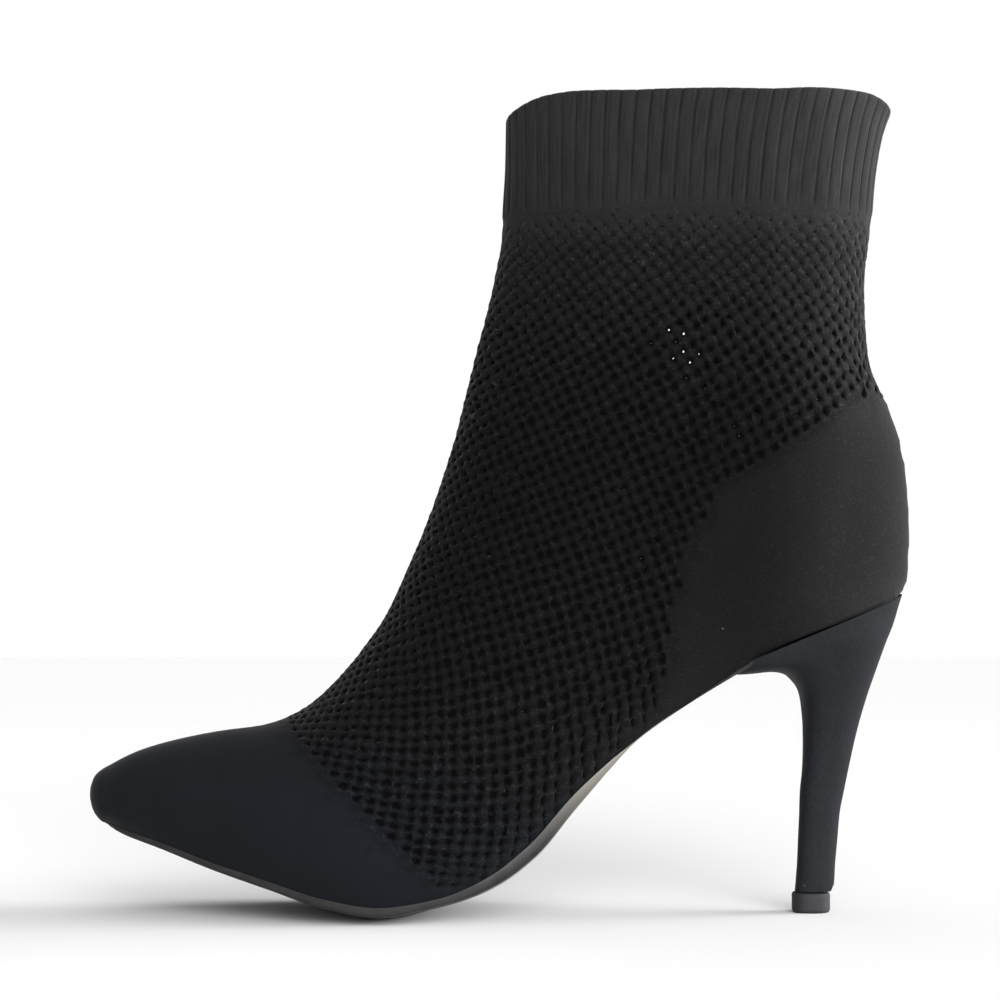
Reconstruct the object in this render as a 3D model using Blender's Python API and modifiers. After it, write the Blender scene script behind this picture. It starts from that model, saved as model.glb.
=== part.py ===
"""Knit ankle boot with a pointed toe and a stiletto heel: upper, insole, outsole, heel and heel tip.

Metres, +Z up. The floor is z = 0, the toe points to -X and the outer side of this left boot faces -Y.
The upper is lofted through sections that fan out from the toe, over the instep, to the collar.
Each section runs from a base point on the sole or the back line to a top point on the instep line.
"""
from collections import namedtuple

import bmesh
import bpy
import numpy as np

# Driving sizes
BOOT_LENGTH = 0.2452
BALL_WIDTH = 0.076
HEEL_HEIGHT = 0.0935
RIM_HEIGHT = 0.2385
KNIT_WALL = 0.0017
GAP = 0.0003

# Collar
RIM_ARCH = 0.003
CUFF_SECTION = 29

# Upper, sections from the toe (0) to the rim (32)
# along: share of the length from the toe tip; level: 0 floor, 1 back of the heel seat, 2 rim
# width, tread: half widths of the body and of the sole opening, as shares of half the ball width
Section = namedtuple("Section", "top_along top_level base_along base_level width tread")
SECTIONS = (
    Section(0.0008, 0.403, 0.0008, 0.3465, 0.0789, 0.000),
    Section(0.0057, 0.432, 0.0049, 0.3187, 0.1789, 0.000),
    Section(0.0147, 0.453, 0.0110, 0.3048, 0.2526, 0.000),
    Section(0.0253, 0.468, 0.0188, 0.2995, 0.3079, 0.000),
    Section(0.0392, 0.488, 0.0318, 0.2888, 0.3658, 0.197),
    Section(0.0595, 0.512, 0.0555, 0.2663, 0.4447, 0.326),
    Section(0.0967, 0.542, 0.0962, 0.2246, 0.5763, 0.474),
    Section(0.1574, 0.575, 0.1615, 0.1636, 0.7421, 0.642),
    Section(0.2145, 0.596, 0.2308, 0.1070, 0.8789, 0.789),
    Section(0.2614, 0.648, 0.2981, 0.0663, 0.9684, 0.879),
    Section(0.3014, 0.738, 0.3613, 0.0503, 1.0000, 0.905),
    Section(0.3344, 0.841, 0.4266, 0.0717, 0.9737, 0.858),
    Section(0.3630, 0.952, 0.4878, 0.1273, 0.9263, 0.779),
    Section(0.3874, 1.059, 0.5367, 0.2171, 0.8842, 0.711),
    Section(0.4091, 1.146, 0.5897, 0.3722, 0.8526, 0.653),
    Section(0.4299, 1.245, 0.6591, 0.5519, 0.8421, 0.595),
    Section(0.4478, 1.344, 0.7365, 0.6941, 0.8368, 0.579),
    Section(0.4592, 1.424, 0.8181, 0.7910, 0.8289, 0.642),
    Section(0.4674, 1.479, 0.8997, 0.8864, 0.8211, 0.705),
    Section(0.4723, 1.514, 0.9507, 0.9460, 0.8158, 0.597),
    Section(0.4747, 1.531, 0.9772, 0.9770, 0.8126, 0.442),
    Section(0.4763, 1.541, 0.9878, 0.9894, 0.8111, 0.279),
    Section(0.4776, 1.548, 0.9918, 0.9940, 0.8105, 0.000),
    Section(0.4804, 1.566, 0.9976, 1.0483, 0.8066, 0.000),
    Section(0.4853, 1.597, 1.0000, 1.1483, 0.7947, 0.000),
    Section(0.4910, 1.638, 0.9955, 1.2793, 0.7816, 0.000),
    Section(0.4967, 1.686, 0.9755, 1.3966, 0.7658, 0.000),
    Section(0.5016, 1.728, 0.9539, 1.4931, 0.7553, 0.000),
    Section(0.5045, 1.776, 0.9490, 1.6310, 0.7526, 0.000),
    Section(0.5061, 1.824, 0.9564, 1.7586, 0.7632, 0.000),
    Section(0.5086, 1.890, 0.9617, 1.8690, 0.7789, 0.000),
    Section(0.5094, 1.948, 0.9702, 1.9483, 0.7895, 0.000),
    Section(0.5098, 1.993, 0.9821, 2.0034, 0.7947, 0.000),
)

# Form of the sections: belly is where along a section it is widest, from base to top
# base_round, top_round: 2 is an ellipse, more is boxier; swing: sideways shift, share of the ball width
Form = namedtuple("Form", "at belly base_round top_round swing")
FORMS = (
    Form(0, 0.44, 2.0, 2.0, 0.072),
    Form(6, 0.36, 2.1, 2.1, 0.052),
    Form(10, 0.26, 2.2, 1.9, 0.000),
    Form(14, 0.36, 2.2, 1.8, 0.004),
    Form(18, 0.40, 2.7, 1.9, 0.024),
    Form(23, 0.40, 2.7, 1.9, 0.024),
    Form(27, 0.48, 2.2, 2.0, 0.024),
    Form(32, 0.50, 2.5, 2.5, 0.024),
)
TOE_OPENING = 3
HALF_COLUMNS = 15
FINE_ROWS = ((3.0, 19.0), (24.0, 30.0))

# Outsole: edge is its thickness at the rim, crown the extra in the middle
SoleRow = namedtuple("SoleRow", "at edge crown")
SOLE_ROWS = (
    SoleRow(3.0, 0.0018, 0.0006),
    SoleRow(6.0, 0.0020, 0.0016),
    SoleRow(10.0, 0.0022, 0.0034),
    SoleRow(13.0, 0.0022, 0.0032),
    SoleRow(14.0, 0.0020, 0.0028),
    SoleRow(15.0, 0.0012, 0.0018),
    SoleRow(17.0, 0.0007, 0.0006),
)
SOLE_MARGIN = 0.0007
SOLE_END = 16.75
SOLE_COLUMNS = 12

# Insole
INSOLE_THICK = 0.0022
INSOLE_CLEAR = 0.0008
INSOLE_START = 4.35
INSOLE_END = 19.8
INSOLE_COLUMNS = 6

# Heel: rings lie on planes that turn about one line, from the seat (turn 0) to the tip (turn 1)
# front, back: distance of the breast and of the back line from that line; half_width; square: of the breast
HeelRow = namedtuple("HeelRow", "turn front back half_width square")
HEEL_ROWS = (
    HeelRow(0.00, 0.1612, 0.2112, 0.0268, 6.0),
    HeelRow(0.05, 0.1683, 0.2073, 0.0245, 5.0),
    HeelRow(0.11, 0.1729, 0.2020, 0.0206, 4.0),
    HeelRow(0.20, 0.1741, 0.1958, 0.0160, 3.2),
    HeelRow(0.29, 0.1727, 0.1897, 0.0122, 2.8),
    HeelRow(0.42, 0.1699, 0.1842, 0.0088, 2.6),
    HeelRow(0.58, 0.1668, 0.1787, 0.0066, 2.6),
    HeelRow(0.75, 0.1645, 0.1751, 0.0057, 2.6),
    HeelRow(0.92, 0.1630, 0.1736, 0.0053, 2.6),
    HeelRow(1.00, 0.1626, 0.1730, 0.0051, 2.6),
)
HEEL_WIDEST = 0.47
HEEL_BACK_ROUND = 2.2
HEEL_RINGS = 18
HEEL_COLUMNS = 14

# Heel tip
TIP_HEIGHT = 0.006
TIP_FORWARD = 0.0012
TIP_TRIM = 0.0001
TIP_CORNER = 0.0008


def smooth_read(places, values, at):
    """Reads a column between its rows along a curve that never overshoots them."""
    steps = np.diff(values) / np.diff(places)
    before = np.concatenate(([steps[0]], steps))
    after = np.concatenate((steps, [steps[-1]]))
    total = np.where(before + after == 0.0, 1.0, before + after)
    slopes = np.where(before * after > 0.0, 2.0 * before * after / total, 0.0)
    row = int(np.clip(np.searchsorted(places, at, side="right") - 1, 0, len(places) - 2))
    span = places[row + 1] - places[row]
    t = (at - places[row]) / span
    start = (1 + 2 * t) * (1 - t) ** 2 * values[row] + t * (1 - t) ** 2 * span * slopes[row]
    end = t * t * (3 - 2 * t) * values[row + 1] + t * t * (t - 1) * span * slopes[row + 1]
    return start + end


def height(level):
    """Height above the floor of a level: up to 1 within the heel's height, then up to the rim."""
    if level < 1.0:
        return level * HEEL_HEIGHT
    return HEEL_HEIGHT + (level - 1.0) * (RIM_HEIGHT - HEEL_HEIGHT)


def column(table, name, at):
    """One column of a table read at a section, by the rows' own places if it has them."""
    values = np.array([getattr(row, name) for row in table], float)
    if name.endswith("level"):
        values = np.array([height(value) for value in values])
    if hasattr(table[0], "at"):
        places = np.array([row.at for row in table], float)
    elif hasattr(table[0], "turn"):
        places = np.array([row.turn for row in table], float)
    else:
        places = np.arange(len(table), dtype=float)
    return smooth_read(places, values, at)


def base_point(at):
    """Base of a section on the centre plane: sole line, heel seat, then back line. Gives x and z."""
    return np.array([
        (column(SECTIONS, "base_along", at) - 0.5) * BOOT_LENGTH,
        column(SECTIONS, "base_level", at),
    ])


def top_point(at):
    """Top of a section on the centre plane, along the instep and the front of the shaft."""
    return np.array([
        (column(SECTIONS, "top_along", at) - 0.5) * BOOT_LENGTH,
        column(SECTIONS, "top_level", at),
    ])


def tread_half(at):
    """Half width of the opening in the upper's underside."""
    return max(0.0, column(SECTIONS, "tread", at)) * BALL_WIDTH / 2


def swing(at):
    """Sideways shift of a section, towards the inner side of the foot."""
    return column(FORMS, "swing", at) * BALL_WIDTH


def rim_arch(at):
    """How far the sides of the collar stand above its front and back at a section."""
    share = np.clip((at - CUFF_SECTION) / (len(SECTIONS) - 1 - CUFF_SECTION), 0.0, 1.0)
    return RIM_ARCH * share * share


def half_section(at, count):
    """Points of one half of a section from base to top, evenly spaced: across and along."""
    wide = column(SECTIONS, "width", at) * BALL_WIDTH / 2
    opening = tread_half(at)
    belly = column(FORMS, "belly", at)
    turns = np.linspace(0.0, np.pi / 2, 60)
    low = 2.0 / column(FORMS, "base_round", at)
    high = 2.0 / column(FORMS, "top_round", at)
    first_turn = np.arcsin((opening / wide) ** (1.0 / low))
    turns_low = np.linspace(first_turn, np.pi / 2, 60)
    reach = belly / np.cos(first_turn) ** low
    across_low = wide * np.sin(turns_low) ** low
    along_low = belly - reach * np.cos(turns_low) ** low
    across_high = wide * np.cos(turns) ** high
    along_high = belly + (1.0 - belly) * np.sin(turns) ** high
    across = np.concatenate((across_low, across_high[1:]))
    along = np.concatenate((along_low, along_high[1:]))
    chord = np.linalg.norm(top_point(at) - base_point(at))
    steps = np.hypot(np.diff(across), np.diff(along * chord))
    run = np.concatenate(([0.0], np.cumsum(steps)))
    even = np.linspace(0.0, run[-1], count + 1)
    return np.interp(even, run, across), np.interp(even, run, along), wide


def upper_row(at):
    """One section of the upper, from its outer base over the top to its inner base."""
    base = base_point(at)
    rise = top_point(at) - base
    across, along, wide = half_section(at, HALF_COLUMNS)
    centre = swing(at)
    arch = rim_arch(at)
    points = []
    for side, order in ((-1, range(HALF_COLUMNS + 1)), (1, range(HALF_COLUMNS - 1, -1, -1))):
        for k in order:
            x, z = base + rise * along[k]
            lift = arch * (across[k] / wide) ** 2
            points.append((x, centre + side * across[k], z + lift))
    return points


def upper_stations():
    """Places of the upper's rows: every section, and halfway between them where they lie wide apart."""
    last = len(SECTIONS) - 1
    places = set(float(k) for k in range(last + 1))
    for first, final in FINE_ROWS:
        places.update(np.arange(first + 0.5, final, 1.0))
    return sorted(places)


def sole_frame(at):
    """Point of the sole line and the upward normal to it, both on the centre plane."""
    step = 0.02
    ahead = base_point(at + step)
    behind = base_point(at - step)
    run = (ahead - behind) / np.linalg.norm(ahead - behind)
    return base_point(at), np.array([-run[1], run[0]])


def new_object(name, mesh, collection, material):
    """Links a mesh as a named object with its own material."""
    piece = bpy.data.objects.new(name, mesh)
    collection.objects.link(piece)
    mesh.materials.append(material)
    return piece


def grid_faces(bm, grid):
    """Adds a grid of points to a mesh and skins it with quads."""
    verts = [[bm.verts.new(point) for point in row] for row in grid]
    for row, after in zip(verts, verts[1:]):
        for k in range(len(row) - 1):
            bm.faces.new((row[k], row[k + 1], after[k + 1], after[k]))
    return verts


def finish_mesh(bm, name):
    """Welds seams, turns the faces outward and gives the mesh."""
    bmesh.ops.remove_doubles(bm, verts=bm.verts, dist=0.00005)
    bmesh.ops.dissolve_degenerate(bm, dist=0.00005, edges=bm.edges)
    bmesh.ops.recalc_face_normals(bm, faces=bm.faces)
    mesh = bpy.data.meshes.new(name)
    bm.to_mesh(mesh)
    bm.free()
    return mesh


def plain_material(name, colour, roughness):
    """A plain shader for one piece."""
    material = bpy.data.materials.new(name)
    material.use_nodes = True
    shader = material.node_tree.nodes["Principled BSDF"]
    shader.inputs["Base Color"].default_value = (*colour, 1.0)
    shader.inputs["Roughness"].default_value = roughness
    shader.inputs["Metallic"].default_value = 0.0
    return material


def make_upper(collection):
    """Knitted upper: an open surface through the sections, made a wall of real thickness."""
    bm = bmesh.new()
    verts = grid_faces(bm, [upper_row(at) for at in upper_stations()])
    bm.faces.new(list(reversed(verts[0])))
    material = plain_material("black_knit", (0.018, 0.018, 0.019), 0.85)
    piece = new_object("upper", finish_mesh(bm, "upper"), collection, material)
    wall = piece.modifiers.new("wall", "SOLIDIFY")
    wall.thickness = KNIT_WALL
    wall.offset = -1.0
    wall.use_even_offset = True
    wall.use_quality_normals = True
    return piece


def sheet(name, stations, columns, sides, collection, material):
    """A closed sheet between an upper and a lower grid; sides gives both points at a place."""
    bm = bmesh.new()
    shares = np.linspace(-1.0, 1.0, columns + 1)
    grids = ([], [])
    for at in stations:
        pairs = [sides(at, share) for share in shares]
        grids[0].append([pair[0] for pair in pairs])
        grids[1].append([pair[1] for pair in pairs])
    over = grid_faces(bm, grids[0])
    under = grid_faces(bm, grids[1])
    rim = over[0] + [row[-1] for row in over[1:-1]] + over[-1][::-1] + [row[0] for row in over[-2:0:-1]]
    foot = under[0] + [row[-1] for row in under[1:-1]] + under[-1][::-1] + [row[0] for row in under[-2:0:-1]]
    for k in range(len(rim)):
        after = (k + 1) % len(rim)
        bm.faces.new((rim[k], rim[after], foot[after], foot[k]))
    return new_object(name, finish_mesh(bm, name), collection, material)


def outsole_sides(at, share):
    """Top and bottom of the outsole at a section and a share of its width; the tread is cut flat."""
    line, normal = sole_frame(at)
    half = tread_half(at) + SOLE_MARGIN
    edge = column(SOLE_ROWS, "edge", at)
    crown = column(SOLE_ROWS, "crown", at) * (1.0 - share * share)
    across = swing(at) + share * half
    top = line - normal * GAP
    bottom = line - normal * (GAP + edge + crown)
    return (top[0], across, top[1]), (bottom[0], across, max(0.0, bottom[1]))


def inset_half(at, inset):
    """Half width of the opening's outline set in all round by the same distance."""
    step = 0.02
    widening = tread_half(at + step) - tread_half(at - step)
    advance = base_point(at + step)[0] - base_point(at - step)[0]
    return tread_half(at) - inset * np.hypot(1.0, widening / advance)


def insole_sides(at, share):
    """Top and bottom of the insole, clear of the upper's wall."""
    line, normal = sole_frame(at)
    across = swing(at) + share * inset_half(at, KNIT_WALL + INSOLE_CLEAR)
    top = line + normal * INSOLE_THICK
    return (top[0], across, top[1]), (line[0], across, line[1])


def seat_line():
    """Where the plane of the heel seat meets the height of the tip's top, and its slope as an angle."""
    front, back = base_point(17), base_point(20)
    run = (back - front) / np.linalg.norm(back - front)
    normal = np.array([-run[1], run[0]])
    start = front - normal * GAP
    drop = start[1] - (TIP_HEIGHT + GAP)
    return start - run * drop / run[1], np.arctan2(run[1], run[0])


def heel_ring(turn):
    """One ring of the heel on its turned plane: rounded at the back, flatter at the breast."""
    line, angle = seat_line()
    tilt = angle * (1.0 - turn)
    front = column(HEEL_ROWS, "front", turn)
    back = column(HEEL_ROWS, "back", turn)
    half = column(HEEL_ROWS, "half_width", turn)
    widest = front + (back - front) * HEEL_WIDEST
    points = []
    for k in range(2 * HEEL_COLUMNS):
        around = np.pi * k / HEEL_COLUMNS
        if np.cos(around) > 0:
            round_power = 2.0 / HEEL_BACK_ROUND
            reach = back - widest
        else:
            round_power = 2.0 / column(HEEL_ROWS, "square", turn)
            reach = widest - front
        away = widest + np.sign(np.cos(around)) * reach * abs(np.cos(around)) ** round_power
        across = np.sign(np.sin(around)) * half * abs(np.sin(around)) ** round_power
        x = line[0] + away * np.cos(tilt)
        z = line[1] + away * np.sin(tilt)
        points.append((x, swing(20) + across, z))
    return points


def loft(name, rings, collection, material):
    """A closed body through rings of equal count, capped at both ends."""
    bm = bmesh.new()
    verts = grid_faces(bm, [ring + ring[:1] for ring in rings])
    bm.faces.new(verts[0][:-1])
    bm.faces.new(verts[-1][:-1])
    return new_object(name, finish_mesh(bm, name), collection, material)


def tip_ring(level, trim):
    """One level ring of the heel tip, set a little forward of the heel's end."""
    ring = np.array(heel_ring(1.0))
    centre = (ring.max(axis=0) + ring.min(axis=0)) / 2
    half = (ring.max(axis=0) - ring.min(axis=0)) / 2
    share = np.array([1.0 - trim / half[0], 1.0 - trim / half[1], 1.0])
    placed = centre + (ring - centre) * share
    placed[:, 0] -= TIP_FORWARD
    placed[:, 2] = level
    return [tuple(point) for point in placed]


def build():
    """Clears the scene and makes the five pieces."""
    for old in list(bpy.data.objects):
        bpy.data.objects.remove(old, do_unlink=True)
    collection = bpy.data.collections.new("knit_ankle_boot")
    bpy.context.scene.collection.children.link(collection)
    make_upper(collection)
    sole_rows = np.concatenate((np.arange(TOE_OPENING, 6.0, 0.5), np.arange(6.0, SOLE_END, 0.4), [SOLE_END]))
    sheet("outsole", sole_rows, SOLE_COLUMNS, outsole_sides, collection,
          plain_material("sole_rubber", (0.030, 0.030, 0.031), 0.45))
    insole_rows = np.concatenate(([INSOLE_START], np.arange(4.5, 19.6, 0.5), [INSOLE_END]))
    sheet("insole", insole_rows, INSOLE_COLUMNS, insole_sides, collection,
          plain_material("insole_cover", (0.022, 0.021, 0.021), 0.75))
    heel_turns = np.linspace(0.0, 1.0, HEEL_RINGS) ** 1.6
    loft("heel", [heel_ring(turn) for turn in heel_turns], collection,
         plain_material("heel_cover", (0.026, 0.026, 0.029), 0.50))
    tip_rings = [tip_ring(TIP_HEIGHT, TIP_TRIM), tip_ring(TIP_CORNER, TIP_TRIM), tip_ring(0.0, TIP_CORNER)]
    loft("heel_tip", tip_rings, collection,
         plain_material("tip_plastic", (0.060, 0.060, 0.060), 0.60))


build()
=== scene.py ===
"""Looks of the knit ankle boot: knitted body, ribbed cuff, insole, outsole, heel and heel tip.

Metres, +Z up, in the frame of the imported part: the floor is z = 0, the toe points to -X and the outer side
of this left boot faces -Y. Each piece is shaped flat, the way it is knitted or cut, and is then laid on the
form of the last. The form is a fan of sections from the toe (0) to the rim (32), and each section runs from
a top point on the instep line to a base point on the sole, the heel seat or the back line. The toe's
underside and the heel seat follow the photograph's edges, up to 3.5 mm away from the solids of the part.
"""
from collections import namedtuple

import bpy
import mathutils
import numpy as np
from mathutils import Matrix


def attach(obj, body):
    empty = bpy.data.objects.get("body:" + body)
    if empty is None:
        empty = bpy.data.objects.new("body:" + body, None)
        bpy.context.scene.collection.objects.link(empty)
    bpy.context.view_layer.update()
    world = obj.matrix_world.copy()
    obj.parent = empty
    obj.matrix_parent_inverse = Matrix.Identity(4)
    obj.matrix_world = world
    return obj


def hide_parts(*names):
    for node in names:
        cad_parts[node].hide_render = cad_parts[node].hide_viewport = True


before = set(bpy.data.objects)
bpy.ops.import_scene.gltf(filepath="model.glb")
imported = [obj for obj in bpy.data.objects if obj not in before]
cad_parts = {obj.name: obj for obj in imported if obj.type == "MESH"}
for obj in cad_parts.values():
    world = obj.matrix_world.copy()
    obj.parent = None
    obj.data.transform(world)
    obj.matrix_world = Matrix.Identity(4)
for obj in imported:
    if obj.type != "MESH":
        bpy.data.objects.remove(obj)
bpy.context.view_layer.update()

# Driving sizes of the boot
BOOT_LENGTH = 0.2452
BALL_WIDTH = 0.076
HEEL_HEIGHT = 0.0935
RIM_HEIGHT = 0.2385
GAP = 0.0003
RIM_ARCH = 0.003
CUFF_SECTION = 29

# Sections of the last, from the toe (0) to the rim (32)
# along: share of the length from the toe tip; level: 0 floor, 1 back of the heel seat, 2 rim
# width, tread: half widths of the body and of the sole opening, as shares of half the ball width
Section = namedtuple("Section", "top_along top_level base_along base_level width tread")
SECTIONS = (
    Section(0.0008, 0.403, 0.0008, 0.3465, 0.0789, 0.000),
    Section(0.0057, 0.432, 0.0049, 0.3187, 0.1789, 0.000),
    Section(0.0147, 0.453, 0.0110, 0.2958, 0.2526, 0.000),
    Section(0.0253, 0.468, 0.0188, 0.2820, 0.3079, 0.000),
    Section(0.0392, 0.488, 0.0318, 0.2808, 0.3658, 0.197),
    Section(0.0595, 0.512, 0.0555, 0.2630, 0.4447, 0.326),
    Section(0.0967, 0.542, 0.0962, 0.2334, 0.5763, 0.474),
    Section(0.1574, 0.575, 0.1615, 0.1768, 0.7421, 0.642),
    Section(0.2145, 0.596, 0.2308, 0.1256, 0.8789, 0.789),
    Section(0.2614, 0.648, 0.2981, 0.0750, 0.9684, 0.879),
    Section(0.3014, 0.738, 0.3613, 0.0503, 1.0000, 0.905),
    Section(0.3344, 0.841, 0.4266, 0.0717, 0.9737, 0.858),
    Section(0.3630, 0.952, 0.4878, 0.1273, 0.9263, 0.779),
    Section(0.3874, 1.059, 0.5367, 0.2171, 0.8842, 0.711),
    Section(0.4091, 1.146, 0.5897, 0.3722, 0.8526, 0.653),
    Section(0.4299, 1.245, 0.6591, 0.5519, 0.8421, 0.595),
    Section(0.4478, 1.344, 0.7365, 0.6941, 0.8368, 0.579),
    Section(0.4592, 1.424, 0.8181, 0.8285, 0.8289, 0.642),
    Section(0.4674, 1.479, 0.8997, 0.9185, 0.8211, 0.705),
    Section(0.4723, 1.514, 0.9507, 0.9717, 0.8158, 0.597),
    Section(0.4747, 1.531, 0.9772, 1.0010, 0.8126, 0.442),
    Section(0.4763, 1.541, 0.9878, 1.0083, 0.8111, 0.279),
    Section(0.4776, 1.548, 0.9918, 1.0110, 0.8105, 0.000),
    Section(0.4804, 1.566, 0.9976, 1.0483, 0.8066, 0.000),
    Section(0.4853, 1.597, 1.0000, 1.1483, 0.7947, 0.000),
    Section(0.4910, 1.638, 0.9955, 1.2793, 0.7816, 0.000),
    Section(0.4967, 1.686, 0.9755, 1.3966, 0.7658, 0.000),
    Section(0.5016, 1.728, 0.9539, 1.4931, 0.7553, 0.000),
    Section(0.5045, 1.776, 0.9490, 1.6310, 0.7526, 0.000),
    Section(0.5061, 1.824, 0.9564, 1.7586, 0.7632, 0.000),
    Section(0.5086, 1.890, 0.9617, 1.8690, 0.7789, 0.000),
    Section(0.5094, 1.948, 0.9702, 1.9483, 0.7895, 0.000),
    Section(0.5098, 1.993, 0.9821, 2.0034, 0.7947, 0.000),
)
LAST_SECTION = len(SECTIONS) - 1

# Form of the sections: belly is where along a section it is widest, from base to top
# base_round, top_round: 2 is an ellipse, more is boxier; swing: sideways shift, share of the ball width
Form = namedtuple("Form", "at belly base_round top_round swing")
FORMS = (
    Form(0, 0.44, 2.0, 2.0, 0.072),
    Form(6, 0.36, 2.1, 2.1, 0.052),
    Form(10, 0.26, 2.2, 1.9, 0.000),
    Form(14, 0.36, 2.2, 1.8, 0.004),
    Form(18, 0.40, 2.7, 1.9, 0.024),
    Form(23, 0.40, 2.7, 1.9, 0.024),
    Form(27, 0.48, 2.2, 2.0, 0.024),
    Form(32, 0.50, 2.5, 2.5, 0.024),
)
FORM_STEPS = 20
FORM_SHARES = 160
CURVE_POINTS = 200
SECTION_STEP = 0.02
LEAST_LENGTH = 1e-12

# Knitted body: rows run across the instep and columns along it, half an eyelet apart
ROW_PITCH = 0.0022
COLUMN_PITCH = 0.00248
SHAFT_ROWS = 93
TOE_ROWS = 34
SIDE_COLUMNS = 72
TOE_LINE_SECTION = 8.45
ROW_REACH = 0.19
ROW_SAMPLES = 300
ROW_SLACK = 0.001
BODY_SEED = 7
KNIT_WALL = 0.0014
EYELET_HALF = 0.36
EYELET_PROFILE = 0.12
EYELET_REACH = 0.6
EYELET_SIZE = 0.252
EYELET_WOBBLE = 0.2
EYELET_SQUARE = 2.2
# Painted shade in and round the eyelets, strongest on the inner face
EYELET_SHADE = 0.74
EYELET_SHADE_EDGES = (0.25, 0.85)
SHADE_POWER = 2.2
EYELET_DRIFT = 0.15
EYELET_UNEVEN = 0.18
KNOT_DRIFT = 0.13
KNOT_UNEVEN = 0.00008
KNOT_CLEAR = (0.0003, 0.004)
PIN_OPEN = 0.34
PIN_SHUT = 0.05
PIN_FAR = 1.15
PIN_STRAY = 0.006
PinPatch = namedtuple("PinPatch", "x z radius")
PIN_PATCHES = (PinPatch(0.0575, 0.170, 0.0115), PinPatch(0.0743, 0.1457, 0.0040))
BAR_PUFF = 0.00042
KNOT_PUFF = 0.00042
KNOT_SINK = 0.00025
EDGE_RELIEF = 0.4
EDGE_REACH = 0.018
CUFF_LINE = 0.2078
CUFF_FADE = 0.045
CUFF_PLAIN = 0.014
CUFF_SPARE = 0.004
CUFF_OPEN = 0.6
SOLE_OPEN = 0.75
PLAIN_BAND = 0.0028
FEATHER_FADE = 0.012
STRETCH_FULL = 0.004
STRETCH_FADE = 0.030
STRETCH_LONG = 0.95
STRETCH_THIN = 0.5
STRETCH_ROWS = (5.0, 13.0)
UPRIGHT_STEP = 0.3
SOLE_MARGIN = 0.002
NOSE_ROUND = 0.0004
MERGE_NEAR = 0.00002
MERGE_TOUCHING = 0.00001
TINY = 1e-6

# How far the knitted rows dip towards the heel, by the height where they leave the instep line
RowTilt = namedtuple("RowTilt", "height degrees")
ROW_TILTS = (
    RowTilt(0.040, 47.0),
    RowTilt(0.056, 45.5),
    RowTilt(0.078, 40.0),
    RowTilt(0.098, 31.5),
    RowTilt(0.122, 26.0),
    RowTilt(0.146, 22.0),
    RowTilt(0.165, 18.0),
    RowTilt(0.190, 13.0),
    RowTilt(0.213, 10.5),
    RowTilt(0.240, 8.0),
)

# Edge of the plain knit round the heel: the eyelets stop here, by height
CounterEdge = namedtuple("CounterEdge", "height along")
COUNTER_EDGE = (
    CounterEdge(0.050, 0.0360),
    CounterEdge(0.057, 0.0409),
    CounterEdge(0.063, 0.0468),
    CounterEdge(0.081, 0.0487),
    CounterEdge(0.098, 0.0524),
    CounterEdge(0.109, 0.0547),
    CounterEdge(0.117, 0.0597),
    CounterEdge(0.127, 0.0655),
    CounterEdge(0.133, 0.0761),
    CounterEdge(0.141, 0.0888),
    CounterEdge(0.149, 0.0975),
    CounterEdge(0.153, 0.1090),
    CounterEdge(0.156, 0.1400),
)

# Angles in degrees: up to which each piece is shaded smooth, and from which an edge is rounded
KNIT_SMOOTH = 75
CUFF_SMOOTH = 180
SOLE_SMOOTH = 70
INSOLE_SMOOTH = 50
HEEL_SMOOTH = 40
EDGE_SHARP = 50
EDGE_STEPS = 3

# Ribbed cuff
RIB_COUNT = 66
CUFF_SEED = 3
RIB_POINTS = 10
RIB_HEIGHT = 0.00055
RIB_FLAT = 5.0
CUFF_ROWS = 14
CUFF_WALL = 0.0019
CUFF_LAP = 0.0015
CUFF_TUCK = 0.0005
CUFF_TUCK_RISE = 0.06
CUFF_PROUD = 0.00012
RIB_RUN_OUT = 0.07
RIB_START = 0.01
RIB_STAGGER = 0.05
RIB_GATHER = 0.6
RIB_SET = 0.6
CUFF_HEIGHT = 0.031
CUFF_START_SECTION = 26
CUFF_RIM_START = 0.965
CUFF_RISE = (0.0, 0.03, 0.07, 0.12, 0.2, 0.3, 0.42, 0.54, 0.66, 0.78, 0.88, 0.95, 0.975, 0.99, 1.0)
RIM_ROUND = 0.0009
WAVE_RISE = (0.5, 1.0)

# Wave of the rim, by the place along the boot
RimWave = namedtuple("RimWave", "at lift")
RIM_WAVES = (
    RimWave(0.0000, 0.0003),
    RimWave(0.0045, 0.0011),
    RimWave(0.0097, 0.0020),
    RimWave(0.0135, 0.0023),
    RimWave(0.0194, 0.0022),
    RimWave(0.0295, 0.0014),
    RimWave(0.0420, 0.0006),
    RimWave(0.0600, 0.0006),
    RimWave(0.0780, 0.0004),
    RimWave(0.0910, 0.0014),
    RimWave(0.1035, 0.0020),
    RimWave(0.1095, 0.0022),
    RimWave(0.1137, 0.0018),
    RimWave(0.1180, 0.0012),
)

# Soft troughs and ridges in the knit, given one by one: centre, direction, half length, half width and lift
Fold = namedtuple("Fold", "x z degrees half_length half_width lift")
FOLDS = (
    Fold(0.010, 0.1725, -8, 0.012, 0.0016, -0.0004),
    Fold(0.012, 0.1757, -8, 0.011, 0.0018, 0.0003),
    Fold(0.087, 0.2140, 90, 0.028, 0.0050, -0.0009),
    Fold(0.097, 0.2140, 90, 0.024, 0.0050, 0.0005),
    Fold(0.1025, 0.120, 80, 0.013, 0.0060, -0.0007),
    Fold(0.0467, 0.1275, 55, 0.036, 0.0070, -0.0008),
    Fold(0.030, 0.1300, 55, 0.030, 0.0080, 0.0005),
    Fold(-0.0605, 0.0515, 50, 0.006, 0.0030, -0.0004),
)
INNER_FOLD = 0.7

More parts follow.
